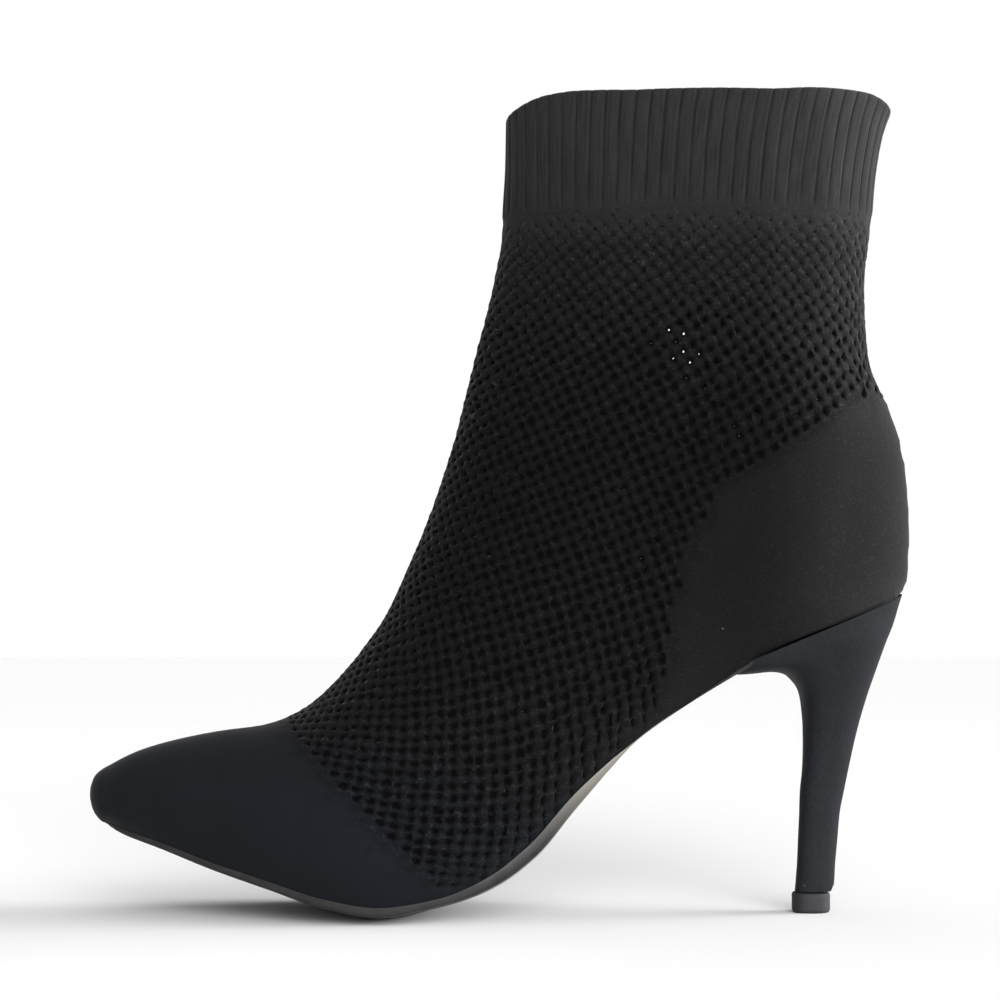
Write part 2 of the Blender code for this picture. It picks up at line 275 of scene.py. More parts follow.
# Outsole: edge is its thickness at the rim, crown the extra in the middle, lip its rise on the upper
SoleRow = namedtuple("SoleRow", "at edge crown lip")
SOLE_ROWS = (
    SoleRow(3.0, 0.0000, 0.0001, 0.0002),
    SoleRow(4.0, 0.0006, 0.0005, 0.0004),
    SoleRow(4.5, 0.0009, 0.0008, 0.0005),
    SoleRow(6.0, 0.0012, 0.0013, 0.0006),
    SoleRow(8.0, 0.0014, 0.0028, 0.0006),
    SoleRow(10.0, 0.0016, 0.0038, 0.0007),
    SoleRow(11.0, 0.0009, 0.0030, 0.0009),
    SoleRow(12.0, 0.0014, 0.0024, 0.0017),
    SoleRow(13.0, 0.0016, 0.0018, 0.0022),
    SoleRow(14.0, 0.0013, 0.0010, 0.0020),
    SoleRow(14.6, 0.0007, 0.0005, 0.0010),
    SoleRow(15.1, 0.0000, 0.0002, 0.0000),
    SoleRow(15.9, 0.0001, 0.0003, 0.0000),
    SoleRow(16.6, 0.0007, 0.0005, 0.0000),
    SoleRow(17.0, 0.0007, 0.0005, 0.0000),
)
SOLE_START = 3.0
SOLE_END = 16.95
SOLE_PROUD = 0.0003
SOLE_TOP_GAP = 0.00004
SOLE_NOSE_START = 2.1
SOLE_NOSE_END = 4.5
SOLE_EDGE_ROUND = 0.0005
SOLE_LEAST_ROUND = 0.00005
WAIST_ROUND = 0.9
WAIST_START = 11.0
WAIST_FULL = 12.5
SOLE_SLAB_ROWS = 110
SOLE_SLAB_COLUMNS = 28

# Insole
INSOLE_THICK = 0.0022
INSOLE_INSET = 0.0025
INSOLE_START = 4.35
INSOLE_END = 19.8

# Heel: rings lie on planes that turn about one line, from the seat (turn 0) to the tip (turn 1)
# front, back: distance of the breast and of the back line from that line; half_width; square: of the breast
HeelRow = namedtuple("HeelRow", "turn front back half_width square")
HEEL_ROWS = (
    HeelRow(0.000, 0.1722, 0.2310, 0.0268, 4.0),
    HeelRow(0.035, 0.1741, 0.2284, 0.0253, 4.0),
    HeelRow(0.060, 0.1787, 0.2267, 0.0239, 4.0),
    HeelRow(0.085, 0.1852, 0.2249, 0.0223, 4.0),
    HeelRow(0.130, 0.1905, 0.2213, 0.0195, 3.8),
    HeelRow(0.200, 0.1922, 0.2165, 0.0160, 3.2),
    HeelRow(0.290, 0.1911, 0.2110, 0.0122, 2.8),
    HeelRow(0.400, 0.1891, 0.2056, 0.0092, 2.6),
    HeelRow(0.505, 0.1871, 0.2016, 0.0076, 2.6),
    HeelRow(0.600, 0.1851, 0.1986, 0.0065, 2.6),
    HeelRow(0.700, 0.1838, 0.1959, 0.0059, 2.6),
    HeelRow(0.800, 0.1827, 0.1944, 0.0056, 2.6),
    HeelRow(0.900, 0.1819, 0.1932, 0.0053, 2.6),
    HeelRow(0.974, 0.1813, 0.1927, 0.0052, 2.6),
    HeelRow(1.000, 0.1811, 0.1918, 0.0051, 2.6),
)
SEAT_FRONT = 17.0
SEAT_BACK = 20.0
HEEL_WIDEST = 0.47
HEEL_BACK_ROUND = 2.2
HEEL_POINTS = 96
HEEL_CUTS = 60
HEEL_CROWDING = 1.6
HEEL_EDGE = 0.0005

# Heel tip
TIP_HEIGHT = 0.006
TIP_CUTS = 3
TIP_FORWARD = 0.0006
TIP_PROUD = 0.0003
TIP_CORNER = 0.0009

# Looks of the yarn
YARN_BLACK = (0.0045, 0.0045, 0.0046)
# Painted light: a cool bluish cast of the light, low on the toe, mixed into the black yarn
BLUE_LIGHT_CAST = (0.0041, 0.0046, 0.0059)
BLUE_SLANT = 0.35
BLUE_HEIGHTS = (0.020, 0.058)
# Painted light by height: darker at the ankle, lighter up the leg, and lighter low on the foot where the
# floor lights it
LEG_LIGHT_HEIGHTS = (0.130, 0.245)
LEG_LIGHT_TONES = (0.72, 2.4)
FOOT_LIGHT_HEIGHTS = (0.020, 0.125)
FOOT_LIGHT_TONES = (1.65, 1.0)
# Painted light: the knit made lighter towards the back, most on the heel counter, where the light falls from
# that side
BACK_LIGHT_PLACES = (0.072, 0.106)
BACK_LIGHT_HEIGHTS = (0.215, 0.150)
BACK_LIGHT_SHARES = (0.35, 1.0)
BACK_PAINTED_LIGHT = 1.5
PLAIN_TONE = 1.3
TOE_FADE = (0.5, -1.5)
# Painted shade: how much darker the eyelets are painted
EYELET_SHADE_DEPTH = 0.92
# Painted light on the open knit: knots lighter where they rise and on their upper side, darker towards the
# eyelets
KNOT_LIGHT_TONES = (0.57, 0.92)
KNOT_FULL = 0.7
KNOT_TOP_LIGHT = 0.17
CLOUD_SCALE = 70.0
CLOUD_TONES = (0.3, 0.85)
CUFF_CLOUDS = (0.24, 0.88)
GRAIN_CLOUDS = (0.2, 0.9)
FLECK_SCALE = 1300.0
FLECK_LEVELS = (0.57, 0.70)
FLECK_LIGHTER = 1.5
FLECK_LESS_PLAIN = 0.65
FLECK_LESS_TOE = 0.9
FUZZ_SCALE = 2600.0
YARN_DETAIL = 1.0
GRAIN_LEVELS = (0.3, 0.7)
YARN_ROUGHNESS = (0.82, 0.95)
PATCH_LEVELS = (0.35, 0.65)
PATCH_SHARES = (0.25, 1.0)
COURSES = 3.0
WALES = 4.0
STITCH_SLANT = 1.1
STITCH_DEPTH = 0.00006
STITCH_SHARE = 0.4
TOE_SMOOTHER = 0.8
CUFF_FUZZ = 0.6
RIB_WALES = 3.0
CUFF_COURSES = 1400.0
STREAK_RISE = 22.0
STREAK_SCALE = 5.0
STREAK_LIGHTER = 0.9
RUN_OUT_RISE = (0.0012, 0.0040)
# Painted shade in the grooves between the ribs
GROOVE_EDGES = (0.34, 0.5)
GROOVE_SHADE = 0.36
GROOVE_SCALE = 0.9
CUFF_TONE = 1.5
LINE_RISE = 60.0
LINE_SCALE = 1.7
LINE_EDGES = (0.32, 0.48)
LINE_LEVELS = (0.42, 0.62)
LINE_DARKER = 0.35
KNIT_FIXED = {"Specular IOR Level": 0.06, "Sheen Weight": 0.065, "Sheen Roughness": 0.4}
SEAM_ABOVE = (0.0010, 0.0004)
SEAM_BELOW = (-0.0030, -0.0018)
SEAM_FRONT = (-0.006, 0.0)
SEAM_DARKER = 0.6
# Pale specks on the knit: lint, and at the second place a painted glint where the knit meets the sole
KNIT_LINT_AND_GLINT = ((0.0645, -0.0268, 0.0845), (-0.0052, -0.033, 0.0095))
LINT_SIZE = 0.0006
LINT_AND_GLINT_COLOUR = (0.25, 0.25, 0.25)
HEEL_LINT_COLOUR = (0.045, 0.045, 0.048)

# Looks of the sole, the insole, the heel and its tip
RUBBER_BLACK = (0.0098, 0.0098, 0.0102)
RUBBER_WORN = (0.0165, 0.0165, 0.0170)
# Painted reflection: a pale band on the glossy waist underside
WAIST_REFLECTION = (0.150, 0.140, 0.122)
WAIST_REFLECTION_RISE = (13.0, 15.0)
WAIST_REFLECTION_FALL = (15.8, 15.3)
RUBBER_SCUFFED = (0.05, 0.049, 0.047)
RUBBER_FIXED = {"Specular IOR Level": 0.25}
WAIST_ROUGHNESS = 0.14
TREAD_ROUGHNESS = 0.5
SCUFF_ROUGHER = 0.25
RIM_ROUGHER = 0.12
SOLE_RIM = (0.93, 0.999)
TREAD_ENDS = (12.4, 11.2)
SCUFF_STRETCH = (0.35, 1.0, 1.0)
SCUFF_SCALE = 160.0
SCUFF_DETAIL = 4.0
SCUFF_LEVELS = (0.56, 0.76)
SCUFF_COVER = 0.5
WORN_SCALE = 220.0
GRAIN_SCALE = 1500.0
GRAIN_DEPTH = 0.00008
GRAIN_DETAIL = 3.0
INSOLE_DARK = (0.018, 0.018, 0.018)
INSOLE_LIGHT = (0.036, 0.036, 0.036)
INSOLE_GRAIN = 900.0
INSOLE_DEPTH = 0.00006
INSOLE_ROUGHNESS = (0.7, 0.85)
INSOLE_FIXED = {"Specular IOR Level": 0.25}
HEEL_DARK = (0.0126, 0.0136, 0.0154)
HEEL_LIGHT = (0.0176, 0.0188, 0.0214)
HEEL_NAP = 1800.0
HEEL_DEPTH = 0.00003
HEEL_ROUGHNESS = (0.5, 0.62)
HEEL_NAP_STRETCH = (1.0, 1.0, 0.5)
HEEL_FIXED = {"Specular IOR Level": 0.03}
HEEL_LINT = ((0.0905, -0.0030, 0.0082),)
TIP_DARK = (0.0132, 0.0136, 0.0152)
TIP_LIGHT = (0.0188, 0.0192, 0.0216)
TIP_GRAIN = 1200.0
TIP_DEPTH = 0.00003
TIP_ROUGHNESS = (0.6, 0.75)
TIP_FIXED = {"Specular IOR Level": 0.3}

# Studio: the surround's own light, its brighter parts, and the lamps
FLOOR_SIZE = 12.0
FLOOR_CLOUD = 3.0
FLOOR_DETAIL = 0.0
FLOOR_FIXED = {"Roughness": 0.85, "Specular IOR Level": 0.1}
FLOOR_DARK = (0.722, 0.722, 0.722)
FLOOR_LIGHT = (0.732, 0.732, 0.732)
SURROUND_SEEN = 1.0
SURROUND_ALL = 0.03
Lobe = namedtuple("Lobe", "way focus strength")
SURROUND_LOBES = (
    Lobe((0.231, -0.928, 0.292), 18.0, 16.0),
    Lobe((0.183, -0.683, 0.707), 12.0, 0.6),
    Lobe((0.974, 0.100, 0.201), 20.0, 23.0),
    Lobe((-0.619, 0.722, 0.309), 6.0, 0.4),
    Lobe((0.0, 0.0, 1.0), 4.0, 0.9),
)
Light = namedtuple("Light", "name place size watts")
LIGHT_AIM = (0.0, 0.0, 0.08)
LIGHTS = (
    Light("overhead_light", (0.0, 0.15, 1.5), 1.2, 2.0),
)

# Camera, as the photograph was taken
CAMERA_DISTANCE = 0.75
CAMERA_SIDE = 0.0003
CAMERA_HEIGHT = 0.085
CAMERA_AIM = 0.1229
PICTURE_WIDTH = 0.300
SENSOR = 36.0


def smooth_read(places, values, at):
    """Reads a column between its rows along a curve that never overshoots them."""
    places = np.asarray(places, float)
    values = np.asarray(values, float)
    at = np.asarray(at, float)
    steps = np.diff(values) / np.diff(places)
    before = np.concatenate(([steps[0]], steps))
    after = np.concatenate((steps, [steps[-1]]))
    total = np.where(before + after == 0.0, 1.0, before + after)
    slopes = np.where(before * after > 0.0, 2.0 * before * after / total, 0.0)
    row = np.clip(np.searchsorted(places, at, side="right") - 1, 0, len(places) - 2)
    span = places[row + 1] - places[row]
    t = (at - places[row]) / span
    start = (1 + 2 * t) * (1 - t) ** 2 * values[row] + t * (1 - t) ** 2 * span * slopes[row]
    end = t * t * (3 - 2 * t) * values[row + 1] + t * t * (t - 1) * span * slopes[row + 1]
    return start + end


def column(table, name, at):
    """One column of a table read at a place, by the rows' own places if it has them."""
    values = np.array([getattr(row, name) for row in table], float)
    if name.endswith("level"):
        over = HEEL_HEIGHT + (values - 1.0) * (RIM_HEIGHT - HEEL_HEIGHT)
        values = np.where(values < 1.0, values * HEEL_HEIGHT, over)
    first = table[0]._fields[0]
    if first in ("at", "turn", "height"):
        places = [getattr(row, first) for row in table]
    else:
        places = np.arange(len(table))
    return smooth_read(places, values, at)


def base_point(at):
    """Base of a section on the centre plane: x and z."""
    along = column(SECTIONS, "base_along", at)
    return np.stack(((along - 0.5) * BOOT_LENGTH, column(SECTIONS, "base_level", at)), -1)


def top_point(at):
    """Top of a section on the centre plane: x and z."""
    along = column(SECTIONS, "top_along", at)
    return np.stack(((along - 0.5) * BOOT_LENGTH, column(SECTIONS, "top_level", at)), -1)


def tread_half(at):
    """Half width of the opening in the upper's underside."""
    return np.maximum(0.0, column(SECTIONS, "tread", at)) * BALL_WIDTH / 2


def swing(at):
    """Sideways shift of a section, towards the inner side of the foot."""
    return column(FORMS, "swing", at) * BALL_WIDTH


def half_section(at):
    """One half of a section from top to base: points x, across, z at even shares, and its length."""
    wide = float(column(SECTIONS, "width", at)) * BALL_WIDTH / 2
    opening = float(tread_half(at))
    belly = float(column(FORMS, "belly", at))
    low = 2.0 / float(column(FORMS, "base_round", at))
    high = 2.0 / float(column(FORMS, "top_round", at))
    first_turn = np.arcsin((opening / wide) ** (1.0 / low))
    turns_low = np.linspace(first_turn, np.pi / 2, CURVE_POINTS)
    turns_high = np.linspace(0.0, np.pi / 2, CURVE_POINTS)[1:]
    reach = belly / np.cos(first_turn) ** low
    across = np.concatenate((wide * np.sin(turns_low) ** low, wide * np.cos(turns_high) ** high))
    along_low = belly - reach * np.cos(turns_low) ** low
    along_high = belly + (1.0 - belly) * np.sin(turns_high) ** high
    along = np.concatenate((along_low, along_high))
    base = base_point(at)
    rise = top_point(at) - base
    steps = np.hypot(np.diff(across), np.diff(along) * np.linalg.norm(rise))
    run = np.concatenate(([0.0], np.cumsum(steps)))
    even = np.linspace(run[-1], 0.0, FORM_SHARES + 1)
    across_even = np.maximum(0.0, np.interp(even, run, across))
    along_even = np.interp(even, run, along)
    arch_share = np.clip((at - CUFF_SECTION) / (LAST_SECTION - CUFF_SECTION), 0.0, 1.0)
    lift = RIM_ARCH * arch_share ** 2 * (across_even / wide) ** 2
    x = base[0] + rise[0] * along_even
    z = base[1] + rise[1] * along_even + lift
    return np.stack((x, across_even, z), -1), run[-1]


def unit(vectors):
    """Vectors made one long."""
    return vectors / np.maximum(LEAST_LENGTH, np.linalg.norm(vectors, axis=-1, keepdims=True))


# The form of the last, close enough to be read between its points
FORM_PLACES = np.linspace(0.0, LAST_SECTION, LAST_SECTION * FORM_STEPS + 1)
HALVES = [half_section(at) for at in FORM_PLACES]
HALF_LENGTHS = np.array([half[1] for half in HALVES])
TOPS = top_point(FORM_PLACES)
CHORDS = unit(base_point(FORM_PLACES) - TOPS)


def form_side(side):
    """Points and outward normals of one side of the last: -1 is the outer side, 1 the inner side."""
    points = np.array([half[0] for half in HALVES])
    points[:, :, 1] = swing(FORM_PLACES)[:, None] + side * points[:, :, 1]
    down = np.gradient(points, axis=1)
    on = np.gradient(points, axis=0)
    normals = unit(np.cross(on, down) * side)
    normals[:, 0, 1] = 0.0
    closed = tread_half(FORM_PLACES) < TINY
    normals[closed, -1, 1] = 0.0
    return points, unit(normals)


FORM = {side: form_side(side) for side in (-1, 1)}


def read_grid(grid, at, share):
    """Reads a grid of the form between its points."""
    row = np.clip(at * FORM_STEPS, 0.0, len(FORM_PLACES) - 1.001)
    col = np.clip(share * FORM_SHARES, 0.0, FORM_SHARES - 0.001)
    r, c = row.astype(int), col.astype(int)
    fr, fc = (row - r)[:, None], (col - c)[:, None]
    near = grid[r, c] * (1 - fc) + grid[r, c + 1] * fc
    far = grid[r + 1, c] * (1 - fc) + grid[r + 1, c + 1] * fc
    return near * (1 - fr) + far * fr


def fold_lift(points):
    """Lift of the soft folds at points of the outer side."""
    total = np.zeros(len(points))
    for fold in FOLDS:
        turn = np.radians(fold.degrees)
        x, z = points[:, 0] - fold.x, points[:, 2] - fold.z
        along = (x * np.cos(turn) + z * np.sin(turn)) / fold.half_length
        across = (z * np.cos(turn) - x * np.sin(turn)) / fold.half_width
        total += fold.lift * np.exp(-along ** 2 - across ** 2)
    return total


def on_form(at, share, sides, lift):
    """Points on the last at a section and a share from top to base, lifted off it by a distance."""
    placed = np.zeros((len(at), 3))
    for side in (-1, 1):
        mine = sides == side
        points, normals = FORM[side]
        base = read_grid(points, at[mine], share[mine])
        out = unit(read_grid(normals, at[mine], share[mine]))
        folds = fold_lift(base) * (1.0 if side < 0 else INNER_FOLD)
        placed[mine] = base + out * (lift[mine] + folds)[:, None]
    return placed


def deselect_all():
    """Leaves edit mode and selects nothing."""
    if bpy.context.object and bpy.context.object.mode != "OBJECT":
        bpy.ops.object.mode_set(mode="OBJECT")
    bpy.ops.object.select_all(action="DESELECT")


def vertex_places(piece):
    """The vertices of a piece as an array."""
    flat = np.empty(len(piece.data.vertices) * 3)
    piece.data.vertices.foreach_get("co", flat)
    return flat.reshape(-1, 3)


def place_vertices(piece, points):
    """Sets the vertices of a piece from an array."""
    piece.data.vertices.foreach_set("co", np.ascontiguousarray(points, float).ravel())
    piece.data.update()


def pick(piece, kind, chosen):
    """Selects only the chosen vertices, edges or polygons of a piece, and goes into edit mode."""
    bpy.ops.object.mode_set(mode="OBJECT")
    mesh = piece.data
    for part in (mesh.vertices, mesh.edges, mesh.polygons):
        part.foreach_set("select", np.zeros(len(part), bool))
    getattr(mesh, kind).foreach_set("select", np.asarray(chosen, bool))
    modes = {"vertices": "VERT", "edges": "EDGE", "polygons": "FACE"}
    bpy.ops.object.mode_set(mode="EDIT")
    bpy.ops.mesh.select_mode(type=modes[kind])


def polygon_corners(mesh):
    """Corner counts, and the vertex of every corner in order."""
    counts = np.empty(len(mesh.polygons), int)
    mesh.polygons.foreach_get("loop_total", counts)
    corners = np.empty(len(mesh.loops), int)
    mesh.loops.foreach_get("vertex_index", corners)
    return counts, corners


def edge_uses(mesh):
    """How many polygons share each edge."""
    edges = np.empty(len(mesh.loops), int)
    mesh.loops.foreach_get("edge_index", edges)
    return np.bincount(edges, minlength=len(mesh.edges))


def all_corners(mesh, mask):
    """Polygons whose every corner is in a vertex mask."""
    counts, corners = polygon_corners(mesh)
    starts = np.concatenate(([0], np.cumsum(counts)[:-1]))
    return np.minimum.reduceat(mask[corners].astype(int), starts) == 1


def lay_map(piece, name, values):
    """Gives a piece a map with two values for each vertex."""
    mesh = piece.data
    layer = mesh.uv_layers.get(name) or mesh.uv_layers.new(name=name)
    corners = polygon_corners(mesh)[1]
    layer.data.foreach_set("uv", np.ascontiguousarray(values[corners], float).ravel())


def set_values(piece, name, values):
    """Gives each vertex of a piece a named value."""
    layer = piece.data.attributes.new(name, "FLOAT", "POINT")
    layer.data.foreach_set("value", values.astype(np.float32))


def take_values(piece, name):
    """Reads a named value of each vertex and takes it off the piece."""
    layer = piece.data.attributes[name]
    values = np.empty(len(layer.data), np.float32)
    layer.data.foreach_get("value", values)
    piece.data.attributes.remove(layer)
    return values.astype(float)


def named_primitive(name):
    """Names the primitive that was just added, and takes its own map off."""
    piece = bpy.context.object
    piece.name = name
    piece.data.name = name
    while piece.data.uv_layers:
        piece.data.uv_layers.remove(piece.data.uv_layers[0])
    return piece


def edit_all(operator, **settings):
    """Goes into edit mode and runs an operator on the whole piece."""
    bpy.ops.object.mode_set(mode="EDIT")
    bpy.ops.mesh.select_all(action="SELECT")
    operator(**settings)


def flat_grid(name, rows, columns):
    """A flat grid with a vertex at each whole row and column from zero."""
    deselect_all()
    bpy.ops.mesh.primitive_grid_add(x_subdivisions=rows, y_subdivisions=columns, size=2.0)
    piece = named_primitive(name)
    points = vertex_places(piece)
    points[:, 0] = np.round((points[:, 0] + 1) / 2 * rows)
    points[:, 1] = np.round((points[:, 1] + 1) / 2 * columns)
    place_vertices(piece, points)
    return piece


def finish_piece(piece, material, node, smooth):
    """Shades a piece smooth up to an angle, gives it its material and ties it to the frame."""
    bpy.ops.object.mode_set(mode="OBJECT")
    piece.data.materials.clear()
    piece.data.materials.append(material)
    bpy.ops.object.shade_smooth_by_angle(angle=np.radians(smooth))
    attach(piece, "root")
    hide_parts(node)


def close_solid(piece, points, near):
    """Lays the vertices of a piece in place, joins those that meet and turns its faces outwards."""
    place_vertices(piece, points)
    edit_all(bpy.ops.mesh.remove_doubles, threshold=near)
    edit_all(bpy.ops.mesh.normals_make_consistent, inside=False)
    bpy.ops.object.mode_set(mode="OBJECT")


def apply_modifier(piece, kind, **settings):
    """Adds a modifier with its settings and applies it."""
    bpy.ops.object.mode_set(mode="OBJECT")
    modifier = piece.modifiers.new(kind.lower(), kind)
    for name, value in settings.items():
        setattr(modifier, name, value)
    bpy.ops.object.modifier_apply(modifier=modifier.name)


# Instep line, with the length along it from the edge of the plain toe
INSTEP_RUN = np.concatenate(([0.0], np.cumsum(np.linalg.norm(np.diff(TOPS, axis=0), axis=1))))
INSTEP_RUN -= np.interp(TOE_LINE_SECTION, FORM_PLACES, INSTEP_RUN)


def knit_table():
    """Section and share for each half row and half column of the shaft knit.

    Seen from the side the rows are straight lines that leave the instep with the dip of ROW_TILTS,
    and the columns lie evenly spaced along them on the surface of the last. A row ends at the edge."""
    reach = ROW_REACH * np.linspace(0.0, 1.0, ROW_SAMPLES) ** 2
    half_columns = np.arange(2 * SIDE_COLUMNS + 1) * COLUMN_PITCH / 2
    chord_lengths = np.linalg.norm(base_point(FORM_PLACES) - TOPS, axis=1)
    depths = [(half[0][:, [0, 2]] - top) @ chord for half, top, chord in zip(HALVES, TOPS, CHORDS)]
    shares = np.linspace(0.0, 1.0, FORM_SHARES + 1)
    table = []
    for row in np.arange(2 * SHAFT_ROWS + 1) / 2:
        run = row * ROW_PITCH
        start = np.array([np.interp(run, INSTEP_RUN, TOPS[:, k]) for k in (0, 1)])
        dip = np.radians(column(ROW_TILTS, "degrees", start[1]))
        points = start + reach[:, None] * np.array([np.cos(dip), -np.sin(dip)])
        gap = points[:, None, :] - TOPS[None]
        turn = gap[:, :, 0] * CHORDS[None, :, 1] - gap[:, :, 1] * CHORDS[None, :, 0]
        own = np.interp(run, INSTEP_RUN, FORM_PLACES)
        ahead = np.einsum("krc,rc->kr", gap, CHORDS) >= -ROW_SLACK
        crossing = (turn[:, :-1] * turn[:, 1:] <= 0) & ahead[:, :-1]
        away = np.where(crossing, np.abs(FORM_PLACES[None, :-1] - own), np.inf)
        first = np.where(crossing.any(1), away.argmin(1), len(FORM_PLACES) - 2)
        each = np.arange(len(reach))
        before, after = turn[each, first], turn[each, first + 1]
        step = np.clip(before / np.where(before == after, 1.0, before - after), 0.0, 1.0)
        at = FORM_PLACES[first] + step / FORM_STEPS
        deep = np.einsum("kc,kc->k", points - TOPS[first], CHORDS[first])
        share = np.array([np.interp(d, depths[k], shares) for d, k in zip(deep, first)])
        over = np.maximum(0.0, deep - chord_lengths[first])
        end = np.argmax(over > 0) if (over > 0).any() else len(over) - 1
        at[end:] = at[end]
        share = share + over / HALF_LENGTHS[first]
        placed = on_form(at, np.minimum(share, 1.0), np.full(len(at), -1), np.zeros(len(at)))
        steps = np.linalg.norm(np.diff(placed, axis=0), axis=1)
        steps = np.where(over[1:] > 0, np.diff(reach), steps)
        length = np.concatenate(([0.0], np.cumsum(steps)))
        table.append([np.interp(half_columns, length, at), np.interp(half_columns, length, share)])
    return np.array(table)


KNIT_TABLE = knit_table()


def knit_lay(rows, columns):
    """Section and share on the last for rows and columns of the shaft knit; over 1 is off the edge."""
    row = np.clip(rows * 2, 0.0, 2 * SHAFT_ROWS - 0.001)
    col = np.clip(np.abs(columns) * 2, 0.0, 2 * SIDE_COLUMNS - 0.001)
    r, c = row.astype(int), col.astype(int)
    fr, fc = row - r, col - c
    near = KNIT_TABLE[r, :, c] * (1 - fc)[:, None] + KNIT_TABLE[r, :, c + 1] * fc[:, None]
    far = KNIT_TABLE[r + 1, :, c] * (1 - fc)[:, None] + KNIT_TABLE[r + 1, :, c + 1] * fc[:, None]
    both = near * (1 - fr)[:, None] + far * fr[:, None]
    return both[:, 0], both[:, 1]


def body_lay(rows, columns):
    """Section and share on the last for any row and column of the body; toe rows close in on the tip."""
    shaft_rows = np.maximum(rows, 0.0)
    at, share = knit_lay(shaft_rows, columns)
    toe = np.clip(1.0 + rows / TOE_ROWS, 0.0, 1.0)
    return np.where(rows < 0, at * toe, at), share


def sides_of(columns):
    """Side of the last that a column lies on: -1 is the outer side, 1 the inner side."""
    return np.where(columns < 0, -1, 1)


def edge_distance(at, share):
    """Distance on the last to the feather edge or the back line."""
    return (1.0 - share) * np.interp(at, FORM_PLACES, HALF_LENGTHS)


def panel_counts(piece):
    """Row and column of each vertex of the flat panel."""
    flat = vertex_places(piece)
    return flat[:, 0] - TOE_ROWS - 1, flat[:, 1] - SIDE_COLUMNS


def panel_places(rows, columns):
    """Places on the last of rows and columns, and their sections and shares."""
    at, share = body_lay(rows, columns)
    return on_form(at, np.clip(share, 0.0, 1.0), sides_of(columns), np.zeros(len(at))), at, share


def eyelet_of(rows, columns):
    """Row and column of the nearest place for an eyelet: those that add to an even number."""
    p = np.round((rows + columns) / 2)
    q = np.round((rows - columns) / 2)
    return p + q, p - q


def fade(value, start, end):
    """0 before start, 1 after end, smooth between."""
    t = np.clip((value - start) / (end - start), 0.0, 1.0)
    return t * t * (3 - 2 * t)


def upright_way(rows, columns):
    """Which way in rows and columns points straight up as seen from the side."""
    def seen(row_step, column_step):
        at, share = body_lay(rows + row_step, columns + column_step)
        return on_form(at, np.clip(share, 0.0, 1.0), sides_of(columns), np.zeros(len(at)))[:, [0, 2]]

    by_row = seen(UPRIGHT_STEP, 0.0) - seen(-UPRIGHT_STEP, 0.0)
    by_column = seen(0.0, UPRIGHT_STEP) - seen(0.0, -UPRIGHT_STEP)
    turn = by_row[:, 0] * by_column[:, 1] - by_column[:, 0] * by_row[:, 1]
    return unit(np.stack((-by_column[:, 0], by_row[:, 0]), -1) * np.sign(turn)[:, None])


def cut_panel(piece):
    """Cuts the flat panel to the feather edge, the back line and the cuff."""
    places, at, share = panel_places(*panel_counts(piece))
    off = (share >= 1.0) | (places[:, 2] > CUFF_LINE + CUFF_SPARE)
    pick(piece, "polygons", all_corners(piece.data, off))
    bpy.ops.mesh.delete(type="FACE")
    bpy.ops.object.mode_set(mode="OBJECT")


# Eyelets by whole row and column, where negative ones count from the arrays' ends
# cut: there is one; openness: its size; stretch, upright: how far it is drawn upright, and which way that is
# pins: the share that stays open on the inner face
EyeletPlan = namedtuple("EyeletPlan", "cut openness stretch upright pins")


def plan_eyelets(piece, rng):
    """Plans the eyelets where the mesh lies, and tells which vertices of the panel they are cut at."""
    rows, columns = panel_counts(piece)
    places, at, share = panel_places(rows, columns)
    spot = np.round(rows).astype(int), np.round(columns).astype(int)
    heights = np.clip(places[:, 2], COUNTER_EDGE[0].height, COUNTER_EDGE[-1].height)
    depth = edge_distance(at, share)
    mesh = (rows >= 1) & (depth > SOLE_MARGIN) & (places[:, 2] < CUFF_LINE - PLAIN_BAND)
    mesh &= places[:, 0] < column(COUNTER_EDGE, "along", heights)
    holes = mesh & ((spot[0] + spot[1]) % 2 == 0)
    shape = TOE_ROWS + SHAFT_ROWS + 3, 2 * SIDE_COLUMNS + 2
    cut, openness, stretch = np.zeros(shape, bool), np.ones(shape), np.zeros(shape)
    cut[spot] = holes
    openness[spot] = CUFF_OPEN + (1 - CUFF_OPEN) * fade(CUFF_LINE - places[:, 2], 0.0, CUFF_FADE)
    openness[spot] *= SOLE_OPEN + (1 - SOLE_OPEN) * fade(depth, SOLE_MARGIN, FEATHER_FADE)
    stretch[spot] = (1 - fade(depth, STRETCH_FULL, STRETCH_FADE)) * fade(rows, *STRETCH_ROWS)
    upright = np.zeros((*shape, 2))
    upright[..., 0] = 1.0
    upright[spot] = upright_way(rows, columns)
    in_patch = np.zeros(len(rows), bool)
    for patch in PIN_PATCHES:
        in_patch |= np.hypot(places[:, 0] - patch.x, places[:, 2] - patch.z) < patch.radius
    pins = np.full(shape, PIN_SHUT)
    pins[spot] = np.where(in_patch | (rng.random(len(rows)) < PIN_STRAY), PIN_OPEN, PIN_SHUT)
    pins[spot] = np.where(in_patch & (columns > 0), PIN_FAR, pins[spot])
    return EyeletPlan(cut, openness, stretch, upright, pins), holes


def eyelet_rim(plan, rows, columns):
    """Which rows and columns lie on the rim of an eyelet."""
    hole_row, hole_column = eyelet_of(rows, columns)
    near = np.hypot(rows - hole_row, columns - hole_column) < EYELET_REACH
    return plan.cut[hole_row.astype(int), hole_column.astype(int)] & near


